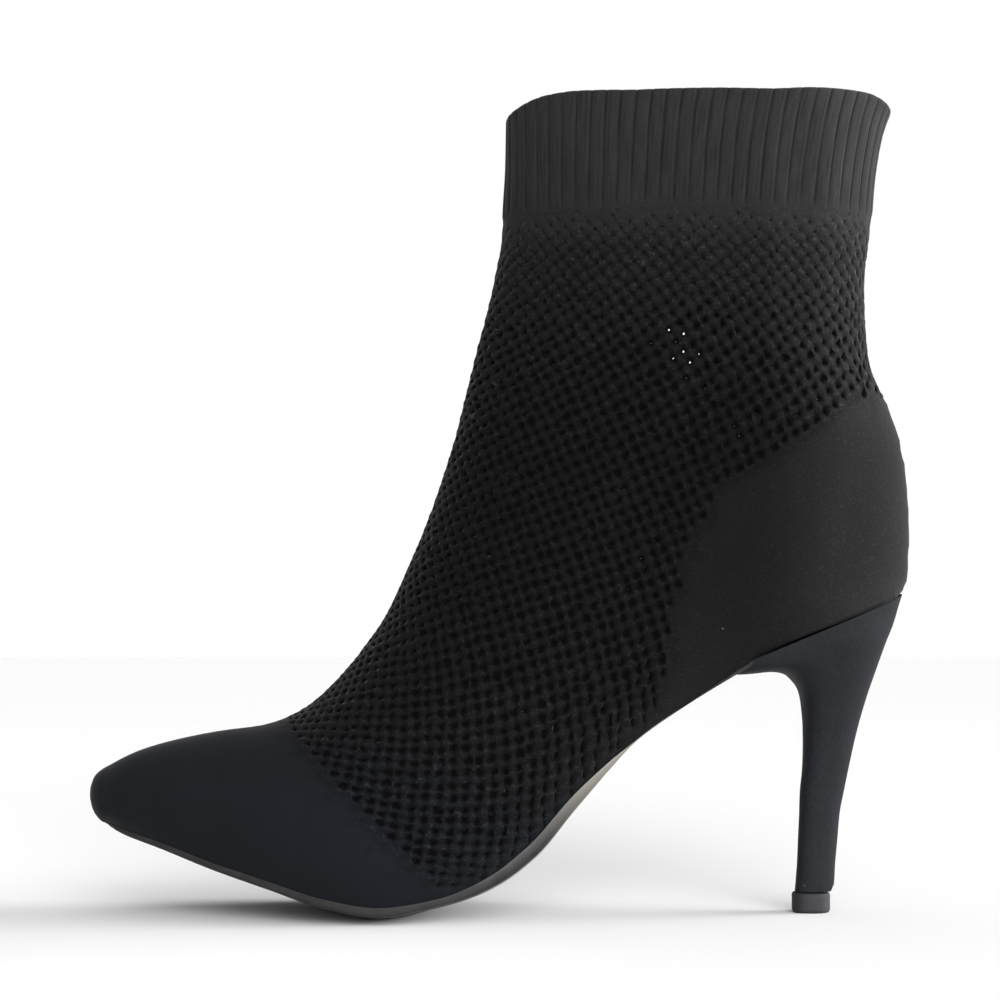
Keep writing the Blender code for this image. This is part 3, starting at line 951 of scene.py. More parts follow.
def cut_eyelets(piece, plan, holes):
    """Cuts the eyelets out of the flat panel."""
    pick(piece, "vertices", holes)
    bpy.ops.mesh.bevel(
        offset=EYELET_HALF, offset_type="OFFSET", segments=2, profile=EYELET_PROFILE, affect="VERTICES")
    bpy.ops.object.mode_set(mode="OBJECT")
    pick(piece, "polygons", all_corners(piece.data, eyelet_rim(plan, *panel_counts(piece))))
    bpy.ops.mesh.delete(type="FACE")
    bpy.ops.object.mode_set(mode="OBJECT")
    pick(piece, "polygons", polygon_corners(piece.data)[0] > 4)
    bpy.ops.mesh.poke()
    bpy.ops.object.mode_set(mode="OBJECT")


# How uneven the knit is: drift, size and phases of each eyelet, and the nudge of each vertex
Uneven = namedtuple("Uneven", "drift nudge size phases")


def draw_uneven(plan, count, rng):
    """Draws how uneven the eyelets of a plan and a count of vertices are."""
    shape = plan.cut.shape
    drift = rng.normal(0.0, EYELET_DRIFT, (*shape, 2))
    nudge = rng.normal(0.0, 1.0, (count, 3))
    size = plan.openness * rng.normal(1.0, EYELET_UNEVEN, shape)
    phases = rng.random((*shape, 2)) * 2 * np.pi
    return Uneven(drift, nudge, size, phases)


def rounded_rim(plan, uneven, rows, columns, hole_shares):
    """Rows and columns of the nearest eyelet's rim, rounded, drawn upright and a little uneven."""
    hole_row, hole_column = eyelet_of(rows, columns)
    r, c = hole_row.astype(int), hole_column.astype(int)
    d_row, d_column = rows - hole_row, columns - hole_column
    p, q = (d_row + d_column) / 2, (d_row - d_column) / 2
    reach = (np.abs(p) ** EYELET_SQUARE + np.abs(q) ** EYELET_SQUARE) ** (1.0 / EYELET_SQUARE)
    around = np.arctan2(q, p)
    oval, three_sided = uneven.phases[r, c, 0], uneven.phases[r, c, 1]
    wobble = 1.0 + EYELET_WOBBLE * (np.cos(2 * (around - oval)) + np.cos(3 * (around - three_sided)))
    scale = EYELET_SIZE * hole_shares[r, c] * uneven.size[r, c] * wobble / np.maximum(reach, TINY)
    thin, long = 1 - STRETCH_THIN * plan.stretch[r, c], 1 + STRETCH_LONG * plan.stretch[r, c]
    way_row, way_column = plan.upright[r, c, 0], plan.upright[r, c, 1]
    along = (d_row * way_row + d_column * way_column) * scale * long
    beside = (d_column * way_row - d_row * way_column) * scale * thin
    rim_row = hole_row + uneven.drift[r, c, 0] + along * way_row - beside * way_column
    rim_column = hole_column + uneven.drift[r, c, 1] + along * way_column + beside * way_row
    return rim_row, rim_column


def knit_points(plan, uneven, rows, columns, hole_shares, inside=False):
    """Places on the last of knit rows and columns, and how far each lies in plain knit."""
    r, c = (index.astype(int) for index in eyelet_of(rows, columns))
    rim = eyelet_rim(plan, rows, columns)
    near = sum(plan.cut[r + a, c + b] for a, b in ((0, 0), (1, 1), (1, -1), (-1, 1), (-1, -1)))
    rim_row, rim_column = rounded_rim(plan, uneven, rows, columns, hole_shares)
    clear = fade(edge_distance(*body_lay(rows, columns)), *KNOT_CLEAR)
    shift = np.where(rim | (near == 0), 0.0, clear)
    nudge = shift[:, None] * uneven.nudge[:len(rows)]
    at_row = np.where(rim, rim_row, rows) + nudge[:, 0] * KNOT_DRIFT
    at_column = np.where(rim, rim_column, columns) + nudge[:, 1] * KNOT_DRIFT
    p, q = (at_row + at_column) / 2, (at_row - at_column) / 2
    bar_p, bar_q = (1 - np.cos(2 * np.pi * p)) / 2, (1 - np.cos(2 * np.pi * q)) / 2
    puff = (1 - (1 - bar_p) * (1 - bar_q)) * BAR_PUFF + bar_p * bar_q * KNOT_PUFF
    at, share = body_lay(at_row, at_column)
    from_edge = np.minimum(np.abs(at_column) * COLUMN_PITCH, edge_distance(at, share))
    relief = EDGE_RELIEF + (1.0 - EDGE_RELIEF) * fade(from_edge, 0.0, EDGE_REACH)
    lift = np.where(near > 0, puff - BAR_PUFF - KNOT_SINK, 0.0) * plan.openness[r, c] * relief
    lift = lift + nudge[:, 2] * KNOT_UNEVEN * relief
    if inside:
        lift = np.full(len(rows), -KNIT_WALL)
    points = on_form(at, np.clip(share, 0.0, 1.0), sides_of(columns), lift)
    tip = rows < -TOE_ROWS - 0.5
    if tip.any():
        nose = points[~tip & (rows < -TOE_ROWS + 0.5)].mean(0)
        points[tip] = nose - np.array([NOSE_ROUND, 0.0, 0.0])
    return points, 1.0 - np.minimum(near / 4.0, 1.0)


def close_panel(piece):
    """Joins the laid panel where its edges meet, cuts it level at the cuff and gives it its wall."""
    edit_all(bpy.ops.mesh.remove_doubles, threshold=MERGE_NEAR)
    edit_all(bpy.ops.mesh.bisect, plane_co=(0, 0, CUFF_LINE), plane_no=(0, 0, 1), clear_outer=True)
    edit_all(bpy.ops.mesh.dissolve_degenerate, threshold=MERGE_NEAR)
    edit_all(bpy.ops.mesh.delete_loose)
    bpy.ops.object.mode_set(mode="OBJECT")
    pick(piece, "edges", edge_uses(piece.data) > 2)
    bpy.ops.mesh.merge(type="COLLAPSE")
    edit_all(bpy.ops.mesh.normals_make_consistent, inside=False)
    apply_modifier(piece, "SOLIDIFY", thickness=KNIT_WALL, offset=-1.0, use_rim=True)


def make_body(material):
    """Knitted body: a flat panel with its eyelets cut, laid on the last and given its wall."""
    piece = flat_grid("knit_body", TOE_ROWS + 1 + SHAFT_ROWS, 2 * SIDE_COLUMNS)
    cut_panel(piece)
    rng = np.random.default_rng(BODY_SEED)
    plan, holes = plan_eyelets(piece, rng)
    cut_eyelets(piece, plan, holes)

    # Outer face: wide eyelets
    rows, columns = panel_counts(piece)
    lay_map(piece, "knit", np.stack((rows, columns), -1))
    set_values(piece, "row", rows)
    set_values(piece, "column", columns)
    uneven = draw_uneven(plan, len(rows), rng)
    place_vertices(piece, knit_points(plan, uneven, rows, columns, np.ones(plan.cut.shape))[0])
    close_panel(piece)

    # Inner face: pinholes behind the eyelets
    both = vertex_places(piece)
    count = len(both) // 2
    rows, columns = take_values(piece, "row")[:count], take_values(piece, "column")[:count]
    both[count:], plain = knit_points(plan, uneven, rows, columns, plan.pins, inside=True)
    place_vertices(piece, both)
    r, c = (index.astype(int) for index in eyelet_of(rows, columns))
    # Painted shade in the eyelets: full on the inner face, weaker on the outer rim and where the eyelets are
    # less open
    dark = eyelet_rim(plan, rows, columns) * plan.openness[r, c] ** SHADE_POWER
    plain = np.maximum(plain, 1.0 - fade(CUFF_LINE - both[:count, 2], 0.0, CUFF_PLAIN))
    set_values(piece, "eyelet", np.concatenate((dark * EYELET_SHADE, dark)))
    set_values(piece, "plain", np.concatenate((plain, plain)))
    finish_piece(piece, material, "upper", KNIT_SMOOTH)


def make_cuff(material):
    """Ribbed cuff: a ring of ribs that run out at the mesh and end in a rounded rim."""
    piece = flat_grid("knit_cuff", RIB_COUNT * RIB_POINTS, CUFF_ROWS)
    flat = vertex_places(piece)
    rib, part = np.divmod(flat[:, 0] / RIB_POINTS, 1.0)
    part = part - RIB_GATHER * np.sin(2 * np.pi * part) / (2 * np.pi)
    around = ((rib + part) / RIB_COUNT) % 1.0
    share = np.where(around <= 0.5, 2 * around, 2 - 2 * around)
    sides = np.where(around <= 0.5, -1, 1)
    rise = np.array(CUFF_RISE)[np.round(flat[:, 1]).astype(int)]
    high = int(CUFF_START_SECTION * FORM_STEPS)
    at = np.empty(len(flat))
    for k in range(len(flat)):
        points = FORM[sides[k]][0]
        heights = points[high:, int(round(share[k] * FORM_SHARES)), 2]
        target = CUFF_LINE - CUFF_LAP + rise[k] * (heights[-1] - CUFF_LINE + CUFF_LAP)
        at[k] = np.interp(target, heights, FORM_PLACES[high:])
    ridge = 1.0 - np.abs(2 * part - 1) ** RIB_FLAT
    starts = np.random.default_rng(CUFF_SEED).random(RIB_COUNT) * RIB_STAGGER + RIB_START
    this, following = rib.astype(int) % RIB_COUNT, (rib.astype(int) + 1) % RIB_COUNT
    start = starts[this] * (1 - part) + starts[following] * part
    run_out = fade(rise, start, start + RIB_RUN_OUT)
    tuck = -CUFF_TUCK * (1 - fade(rise, 0.0, CUFF_TUCK_RISE))
    edge = np.clip((rise - CUFF_RIM_START) / (1.0 - CUFF_RIM_START), 0.0, 1.0)
    rounding = RIM_ROUND * (1 - np.sqrt(1 - edge ** 2))
    lift = tuck + CUFF_PROUD + RIB_HEIGHT * (ridge - RIB_SET) * run_out - rounding
    points = on_form(at, share, sides, lift)
    wave_at = np.clip(points[:, 0], RIM_WAVES[0].at, RIM_WAVES[-1].at)
    points[:, 2] += column(RIM_WAVES, "lift", wave_at) * fade(rise, *WAVE_RISE)
    lay_map(piece, "rib", np.stack((rib + part, rise * CUFF_HEIGHT), -1))
    close_solid(piece, points, MERGE_NEAR)
    apply_modifier(piece, "SOLIDIFY", thickness=CUFF_WALL, offset=-1.0, use_rim=True)
    finish_piece(piece, material, "upper", CUFF_SMOOTH)


def flat_slab(name, rows, columns):
    """A flat closed slab: a vertex at each whole row and column, at level 0 below and 1 above."""
    piece = flat_grid(name, rows, columns)
    edit_all(bpy.ops.mesh.extrude_region_move, TRANSFORM_OT_translate={"value": (0, 0, 1)})
    bpy.ops.object.mode_set(mode="OBJECT")
    return piece


def sole_frame(at):
    """Points of the sole line and the upward normals to it, on the centre plane."""
    run = unit(base_point(at + SECTION_STEP) - base_point(at - SECTION_STEP))
    return base_point(at), np.stack((-run[:, 1], run[:, 0]), -1)


def make_outsole(material):
    """Outsole: a slab with a crowned underside, cut flat where it treads, and rounded edges."""
    piece = flat_slab("outsole_rubber", SOLE_SLAB_ROWS, SOLE_SLAB_COLUMNS)
    flat = vertex_places(piece)
    at = SOLE_START + (SOLE_END - SOLE_START) * flat[:, 0] / SOLE_SLAB_ROWS
    across = np.sin(np.pi / 2 * (2 * flat[:, 1] / SOLE_SLAB_COLUMNS - 1))
    upper = flat[:, 2] > 0.5
    line, normal = sole_frame(at)
    lip_share = 1.0 - column(SOLE_ROWS, "lip", at) / np.interp(at, FORM_PLACES, HALF_LENGTHS)
    rim = on_form(at, lip_share, np.where(across < 0, -1, 1), np.full(len(at), SOLE_PROUD))
    half = np.abs(rim[:, 1] - swing(at))
    edge = column(SOLE_ROWS, "edge", at)
    crown = column(SOLE_ROWS, "crown", at) * (1 - across ** 2)
    waist = fade(at, WAIST_START, WAIST_FULL)
    radius = SOLE_EDGE_ROUND * (1 - waist) + WAIST_ROUND * edge * waist
    radius = np.minimum(np.maximum(radius, SOLE_LEAST_ROUND), edge + SOLE_LEAST_ROUND)
    near_edge = np.clip((np.abs(across) * half - half + radius) / radius, 0.0, 1.0)
    rounding = radius * (1 - np.sqrt(1 - near_edge ** 2))
    nose = fade(at, SOLE_NOSE_START, SOLE_NOSE_END)
    drop = np.where(upper, SOLE_TOP_GAP, GAP * nose + edge + crown - rounding)
    spot = line - normal * drop[:, None]
    points = np.stack((spot[:, 0], swing(at) + across * half, np.maximum(0.0, spot[:, 1])), -1)
    outermost = upper & (np.abs(across) > 1.0 - TINY)
    points[outermost] = rim[outermost]
    lay_map(piece, "sole", np.stack((at, across), -1))
    close_solid(piece, points, MERGE_TOUCHING)
    finish_piece(piece, material, "outsole", SOLE_SMOOTH)


def make_insole(material):
    """Insole: a thin board with a cover, over the sole and the heel seat."""
    piece = flat_slab("insole_board", SOLE_SLAB_ROWS, SOLE_SLAB_COLUMNS)
    flat = vertex_places(piece)
    at = INSOLE_START + (INSOLE_END - INSOLE_START) * flat[:, 0] / SOLE_SLAB_ROWS
    across = np.sin(np.pi / 2 * (2 * flat[:, 1] / SOLE_SLAB_COLUMNS - 1))
    after, before = at + SECTION_STEP, at - SECTION_STEP
    widening = tread_half(after) - tread_half(before)
    advance = base_point(after)[:, 0] - base_point(before)[:, 0]
    half = tread_half(at) - INSOLE_INSET * np.hypot(1.0, widening / advance)
    line, normal = sole_frame(at)
    spot = line + normal * (flat[:, 2] * INSOLE_THICK)[:, None]
    points = np.stack((spot[:, 0], swing(at) + across * half, spot[:, 1]), -1)
    close_solid(piece, points, MERGE_TOUCHING)
    finish_piece(piece, material, "insole", INSOLE_SMOOTH)


def ring_points(turns, around):
    """Points of the heel's rings at turns from seat to tip and angles from the back line."""
    front, back = base_point(SEAT_FRONT), base_point(SEAT_BACK)
    run = unit(back - front)
    start = front - np.array([-run[1], run[0]]) * GAP
    line = start - run * (start[1] - TIP_HEIGHT - GAP) / run[1]
    tilt = np.arctan2(run[1], run[0]) * (1.0 - turns)
    near, far = column(HEEL_ROWS, "front", turns), column(HEEL_ROWS, "back", turns)
    widest = near + (far - near) * HEEL_WIDEST
    behind = np.cos(around) > 0
    power = np.where(behind, 2.0 / HEEL_BACK_ROUND, 2.0 / column(HEEL_ROWS, "square", turns))
    reach = np.where(behind, far - widest, widest - near)
    away = widest + np.sign(np.cos(around)) * reach * np.abs(np.cos(around)) ** power
    wide = column(HEEL_ROWS, "half_width", turns)
    across = np.sign(np.sin(around)) * wide * np.abs(np.sin(around)) ** power
    x, z = line[0] + away * np.cos(tilt), line[1] + away * np.sin(tilt)
    return np.stack((x, swing(SEAT_BACK) + across, z), -1)


def flat_post(name, points, cuts):
    """A closed round post, one across and from 0 to 1 high, with rings cut across it."""
    deselect_all()
    bpy.ops.mesh.primitive_cylinder_add(vertices=points, radius=1.0, depth=1.0, location=(0, 0, 0))
    piece = named_primitive(name)
    places = vertex_places(piece)
    ends = np.empty(len(piece.data.edges) * 2, int)
    piece.data.edges.foreach_get("vertices", ends)
    ends = ends.reshape(-1, 2)
    pick(piece, "edges", np.abs(places[ends[:, 0], 2] - places[ends[:, 1], 2]) > 0.5)
    bpy.ops.mesh.subdivide(number_cuts=cuts)
    bpy.ops.object.mode_set(mode="OBJECT")
    return piece


def round_edges(piece, width):
    """Rounds the sharp edges of a piece."""
    apply_modifier(
        piece, "BEVEL", width=width, segments=EDGE_STEPS, limit_method="ANGLE",
        angle_limit=np.radians(EDGE_SHARP))


def make_heel(material):
    """Covered stiletto heel: a post drawn out from the sloping seat to the tip."""
    piece = flat_post("heel_block", HEEL_POINTS, HEEL_CUTS)
    places = vertex_places(piece)
    turns = np.clip(0.5 - places[:, 2], 0.0, 1.0) ** HEEL_CROWDING
    around = np.arctan2(places[:, 1], places[:, 0])
    points = ring_points(turns, around)
    close_solid(piece, points, MERGE_TOUCHING)
    round_edges(piece, HEEL_EDGE)
    finish_piece(piece, material, "heel", HEEL_SMOOTH)


def make_tip(material):
    """Heel tip: a low block under the heel, set a little forward, with rounded edges."""
    piece = flat_post("heel_tip_block", HEEL_POINTS, TIP_CUTS)
    places = vertex_places(piece)
    end = ring_points(np.ones(len(places)), np.arctan2(places[:, 1], places[:, 0]))
    centre = (end.max(0) + end.min(0)) / 2
    half = (end.max(0) - end.min(0)) / 2
    points = centre + (end - centre) * (1.0 + TIP_PROUD / np.maximum(half, TIP_PROUD))
    points[:, 0] -= TIP_FORWARD
    points[:, 2] = (places[:, 2] + 0.5) * TIP_HEIGHT
    close_solid(piece, points, MERGE_TOUCHING)
    round_edges(piece, TIP_CORNER)
    finish_piece(piece, material, "heel_tip", HEEL_SMOOTH)


def add_node(tree, kind, inputs, **settings):
    """Adds a shader node with its settings, and values or links for its inputs."""
    made = tree.nodes.new("ShaderNode" + kind)
    for name, value in settings.items():
        setattr(made, name, value)
    for place, value in inputs.items():
        if isinstance(value, bpy.types.NodeSocket):
            tree.links.new(value, made.inputs[place])
        else:
            made.inputs[place].default_value = value
    return made.outputs


def reckon(tree, operation, first, second=0.0, third=0.0):
    """One sum on values of a shader."""
    return add_node(tree, "Math", {0: first, 1: second, 2: third}, operation=operation)[0]


def ease(tree, value, low, high, from_share=0.0, to_share=1.0):
    """A value between two limits, turned smoothly into a share."""
    inputs = {"Value": value, "From Min": low, "From Max": high, "To Min": from_share, "To Max": to_share}
    return add_node(tree, "MapRange", inputs, interpolation_type="SMOOTHSTEP")[0]


def speckle(tree, place, scale, detail=2.0):
    """Noise between 0 and 1 at a place."""
    return add_node(tree, "TexNoise", {"Vector": place, "Scale": scale, "Detail": detail})[0]


def blend(tree, share, first, second, blend_type="MIX"):
    """Two colours mixed by a share."""
    return add_node(tree, "Mix", {0: share, 6: first, 7: second}, data_type="RGBA", blend_type=blend_type)[2]


def shaded(tree, colour, factor):
    """A colour made lighter or darker by a factor."""
    grey = add_node(tree, "CombineColor", {0: factor, 1: factor, 2: factor})[0]
    return blend(tree, 1.0, colour, grey, "MULTIPLY")


def clouded(tree, colour, place, tones):
    """A colour with soft clouds of tone."""
    return shaded(tree, colour, reckon(tree, "MULTIPLY_ADD", speckle(tree, place, CLOUD_SCALE), *tones))


def darkened(tree, colour, share, amount):
    """A colour made darker by an amount where a share is 1."""
    return shaded(tree, colour, reckon(tree, "MULTIPLY_ADD", share, -amount, 1.0))


def map_counts(tree, name):
    """The two counts of a piece's own map."""
    return add_node(tree, "SeparateXYZ", {0: add_node(tree, "UVMap", {}, uv_map=name)[0]})


def rising_place(tree, counts, rise):
    """A place for noise that is drawn out upwards along the ribs."""
    return add_node(tree, "CombineXYZ", {0: counts[0], 1: reckon(tree, "MULTIPLY", counts[1], rise)})[0]


def from_middle(tree, count):
    """Distance from the middle of a whole count, from 0 to 0.5."""
    return reckon(tree, "ABSOLUTE", reckon(tree, "SUBTRACT", reckon(tree, "FRACT", count), 0.5))


def start_material(name, fixed):
    """A new material: itself, its node tree, its shader with fixed values set, and places on the piece."""
    material = bpy.data.materials.new(name)
    material.use_nodes = True
    tree = material.node_tree
    shader = tree.nodes["Principled BSDF"]
    for socket, value in fixed.items():
        shader.inputs[socket].default_value = value
    place = add_node(tree, "TexCoord", {})["Object"]
    return material, tree, shader, place


def finish_material(tree, shader, colour, roughness, height, depth):
    """Links the colour, the roughness and the relief of a material to its shader."""
    tree.links.new(colour, shader.inputs["Base Color"])
    tree.links.new(roughness, shader.inputs["Roughness"])
    relief = add_node(tree, "Bump", {"Strength": 1.0, "Distance": depth, "Height": height})[0]
    tree.links.new(relief, shader.inputs["Normal"])


def rgba(colour):
    """A colour with its alpha."""
    return (*colour, 1.0)


def yarn_tone_and_light(tree, place):
    """Black yarn with painted light: a bluish cast low on the toe, darker at the ankle, lighter up the leg,
    low on the foot and at the back.
    """
    along, _, height = add_node(tree, "SeparateXYZ", {0: place})
    # Painted light throughout: the bluish cast, and the tones by height and towards the back
    low = ease(tree, reckon(tree, "MULTIPLY_ADD", along, BLUE_SLANT, height), *BLUE_HEIGHTS)
    tint = blend(tree, low, rgba(BLUE_LIGHT_CAST), rgba(YARN_BLACK))
    leg = ease(tree, height, *LEG_LIGHT_HEIGHTS, *LEG_LIGHT_TONES)
    foot = ease(tree, height, *FOOT_LIGHT_HEIGHTS, *FOOT_LIGHT_TONES)
    back = ease(tree, along, *BACK_LIGHT_PLACES)
    back = reckon(tree, "MULTIPLY", back, ease(tree, height, *BACK_LIGHT_HEIGHTS, *BACK_LIGHT_SHARES))
    back = reckon(tree, "MULTIPLY_ADD", back, BACK_PAINTED_LIGHT, 1.0)
    return shaded(tree, tint, reckon(tree, "MULTIPLY", reckon(tree, "MULTIPLY", leg, foot), back))


def stitches(tree, along, across):
    """Height of plain knit stitches: slanting legs in pairs, from counts of courses and wales."""
    leg = from_middle(tree, across)
    turn = reckon(tree, "MULTIPLY", reckon(tree, "MULTIPLY_ADD", leg, STITCH_SLANT, along), 2 * np.pi)
    loops = reckon(tree, "MULTIPLY_ADD", reckon(tree, "SINE", turn), 0.5, 0.5)
    legs = reckon(tree, "ABSOLUTE", reckon(tree, "SINE", reckon(tree, "MULTIPLY", across, 2 * np.pi)))
    return reckon(tree, "MULTIPLY", loops, legs)


def knots(tree, row, column):
    """Height of the knots between four eyelets, from 0 to 1, and its slope along the rows."""
    bars, slopes = [], []
    for operation in ("ADD", "SUBTRACT"):
        turn = reckon(tree, "MULTIPLY", reckon(tree, operation, row, column), np.pi)
        bars.append(reckon(tree, "MULTIPLY_ADD", reckon(tree, "COSINE", turn), -0.5, 0.5))
        slopes.append(reckon(tree, "SINE", turn))
    slope = reckon(tree, "MULTIPLY_ADD", slopes[0], bars[1], reckon(tree, "MULTIPLY", slopes[1], bars[0]))
    return reckon(tree, "MULTIPLY", *bars), slope


def lint_and_glint_specks(tree, place, colour, spots, speck_colour):
    """Pale specks on a colour, each at its own place: lint, and on the knit also a painted glint."""
    for spot in spots:
        away = add_node(tree, "VectorMath", {0: place, 1: spot}, operation="DISTANCE")["Value"]
        colour = blend(tree, ease(tree, away, LINT_SIZE, LINT_SIZE / 2), colour, rgba(speck_colour))
    return colour


def seat_seam(tree, place):
    """Tone of the turned edge of the knit along the heel seat: a thin dark line."""
    front, back = base_point(SEAT_FRONT), base_point(SEAT_BACK)
    run = unit(back - front)
    start, upward = (front[0], 0.0, front[1]), (-run[1], 0.0, run[0])
    from_front = add_node(tree, "VectorMath", {0: place, 1: start}, operation="SUBTRACT")[0]
    rise = add_node(tree, "VectorMath", {0: from_front, 1: upward}, operation="DOT_PRODUCT")["Value"]
    ahead = add_node(tree, "SeparateXYZ", {0: from_front})[0]
    line = reckon(tree, "MULTIPLY", ease(tree, rise, *SEAM_ABOVE), ease(tree, rise, *SEAM_BELOW))
    line = reckon(tree, "MULTIPLY", line, ease(tree, ahead, *SEAM_FRONT))
    return reckon(tree, "MULTIPLY_ADD", line, -SEAM_DARKER, 1.0)


def knit_material():
    """Body knit: painted shade in the eyelets, puffy bars with painted light on their knots and light flecks,
    fine stitches, plainer on the toe and heel.
    """
    material, tree, shader, place = start_material("black_knit", KNIT_FIXED)
    counts = map_counts(tree, "knit")
    plain = add_node(tree, "Attribute", {}, attribute_name="plain")["Fac"]
    # The eyelet value is painted shade in the eyelets
    eyelet = add_node(tree, "Attribute", {}, attribute_name="eyelet")["Fac"]
    toe = ease(tree, counts[0], *TOE_FADE)
    knot, slope = knots(tree, counts[0], counts[1])
    # Painted light: knots lighter at their tops and upper sides, darker towards the eyelets
    knot_light_tone = ease(tree, knot, 0.0, KNOT_FULL, *KNOT_LIGHT_TONES)
    knot_light_tone = reckon(tree, "MULTIPLY_ADD", slope, -KNOT_TOP_LIGHT, knot_light_tone)
    tone = add_node(tree, "Mix", {0: plain, 2: knot_light_tone, 3: PLAIN_TONE}, data_type="FLOAT")[0]
    fleck = ease(tree, speckle(tree, place, FLECK_SCALE, YARN_DETAIL), *FLECK_LEVELS)
    fleck = reckon(tree, "MULTIPLY", fleck, reckon(tree, "MULTIPLY_ADD", plain, -FLECK_LESS_PLAIN, 1.0))
    fleck = reckon(tree, "MULTIPLY", fleck, reckon(tree, "MULTIPLY_ADD", toe, -FLECK_LESS_TOE, 1.0))
    colour = shaded(tree, yarn_tone_and_light(tree, place), tone)
    colour = clouded(tree, colour, place, CLOUD_TONES)
    colour = shaded(tree, colour, reckon(tree, "MULTIPLY_ADD", fleck, FLECK_LIGHTER, 1.0))
    # Painted shade in the eyelets
    colour = darkened(tree, colour, ease(tree, eyelet, *EYELET_SHADE_EDGES), EYELET_SHADE_DEPTH)
    colour = shaded(tree, colour, seat_seam(tree, place))
    # Lint, and one painted glint where the knit meets the sole
    colour = lint_and_glint_specks(tree, place, colour, KNIT_LINT_AND_GLINT, LINT_AND_GLINT_COLOUR)
    courses = reckon(tree, "MULTIPLY", counts[0], COURSES)
    wales = reckon(tree, "MULTIPLY", counts[1], WALES)
    fuzz = speckle(tree, place, FUZZ_SCALE, YARN_DETAIL)
    relief = reckon(tree, "MULTIPLY_ADD", stitches(tree, courses, wales), STITCH_SHARE, fuzz)
    relief = reckon(tree, "MULTIPLY", relief, reckon(tree, "MULTIPLY_ADD", toe, -TOE_SMOOTHER, 1.0))
    roughness = ease(tree, fuzz, *GRAIN_LEVELS, *YARN_ROUGHNESS)
    finish_material(tree, shader, colour, roughness, relief, STITCH_DEPTH)
    return material


def cuff_material():
    """Ribbed knit: painted shade in the grooves between the ribs, fine upright wales and streaks in each."""
    material, tree, shader, place = start_material("ribbed_knit", KNIT_FIXED)
    counts = map_counts(tree, "rib")
    run_out = ease(tree, counts[1], *RUN_OUT_RISE)
    line_place = rising_place(tree, counts, LINE_RISE)
    # Painted shade in the grooves, in patches, fading where the ribs run out
    groove_shade = ease(tree, from_middle(tree, counts[0]), *GROOVE_EDGES)
    groove_shown = speckle(tree, line_place, GROOVE_SCALE, YARN_DETAIL)
    groove_shown = ease(tree, groove_shown, *PATCH_LEVELS, *PATCH_SHARES)
    groove_shade = reckon(tree, "MULTIPLY", reckon(tree, "MULTIPLY", groove_shade, run_out), groove_shown)
    streak = speckle(tree, rising_place(tree, counts, STREAK_RISE), STREAK_SCALE)
    streak = reckon(tree, "SUBTRACT", streak, 0.5)
    streak_depth = reckon(tree, "MULTIPLY", run_out, STREAK_LIGHTER)
    wales = reckon(tree, "MULTIPLY", counts[0], RIB_WALES)
    line = ease(tree, from_middle(tree, wales), *LINE_EDGES)
    line_shown = ease(tree, speckle(tree, line_place, LINE_SCALE, YARN_DETAIL), *LINE_LEVELS)
    line = reckon(tree, "MULTIPLY", reckon(tree, "MULTIPLY", line, line_shown), run_out)
    colour = shaded(tree, yarn_tone_and_light(tree, place), CUFF_TONE)
    colour = shaded(tree, colour, reckon(tree, "MULTIPLY_ADD", streak, streak_depth, 1.0))
    colour = clouded(tree, colour, place, CUFF_CLOUDS)
    colour = darkened(tree, colour, groove_shade, GROOVE_SHADE)
    colour = darkened(tree, colour, line, LINE_DARKER)
    fuzz = speckle(tree, place, FUZZ_SCALE, YARN_DETAIL)
    courses = reckon(tree, "MULTIPLY", counts[1], CUFF_COURSES)
    relief = reckon(tree, "MULTIPLY_ADD", fuzz, CUFF_FUZZ, stitches(tree, courses, wales))
    roughness = ease(tree, fuzz, *GRAIN_LEVELS, *YARN_ROUGHNESS)
    finish_material(tree, shader, colour, roughness, relief, STITCH_DEPTH)
    return material


def rubber_material():
    """Outsole: satin black rubber with a fine grain, worn edges and scuffs, and a glossy waist with a painted
    pale reflection.
    """
    material, tree, shader, place = start_material("sole_rubber", RUBBER_FIXED)
    counts = map_counts(tree, "sole")
    rim = ease(tree, reckon(tree, "ABSOLUTE", counts[1]), *SOLE_RIM)
    tread = ease(tree, counts[0], *TREAD_ENDS)
    scuff_place = add_node(tree, "Mapping", {"Vector": place, "Scale": SCUFF_STRETCH})[0]
    scuff = ease(tree, speckle(tree, scuff_place, SCUFF_SCALE, SCUFF_DETAIL), *SCUFF_LEVELS)
    scuff = reckon(tree, "MULTIPLY", scuff, tread)
    worn = ease(tree, speckle(tree, place, WORN_SCALE), *PATCH_LEVELS, *PATCH_SHARES)
    worn = reckon(tree, "MULTIPLY", rim, worn)
    # Painted reflection on the glossy waist
    waist_reflection = ease(tree, counts[0], *WAIST_REFLECTION_RISE)
    waist_reflection = reckon(tree, "MULTIPLY", waist_reflection, ease(tree, counts[0], *WAIST_REFLECTION_FALL))
    colour = blend(tree, worn, rgba(RUBBER_BLACK), rgba(RUBBER_WORN))
    colour = clouded(tree, colour, place, CLOUD_TONES)
    colour = blend(tree, reckon(tree, "MULTIPLY", scuff, SCUFF_COVER), colour, rgba(RUBBER_SCUFFED))
    colour = blend(tree, waist_reflection, colour, rgba(WAIST_REFLECTION))
    roughness = ease(tree, tread, 0.0, 1.0, WAIST_ROUGHNESS, TREAD_ROUGHNESS)
    roughness = reckon(tree, "MULTIPLY_ADD", scuff, SCUFF_ROUGHER, roughness)
    roughness = reckon(tree, "MULTIPLY_ADD", rim, RIM_ROUGHER, roughness)
    grain = reckon(tree, "MULTIPLY", speckle(tree, place, GRAIN_SCALE), tread)
    finish_material(tree, shader, colour, roughness, grain, GRAIN_DEPTH)
    return material


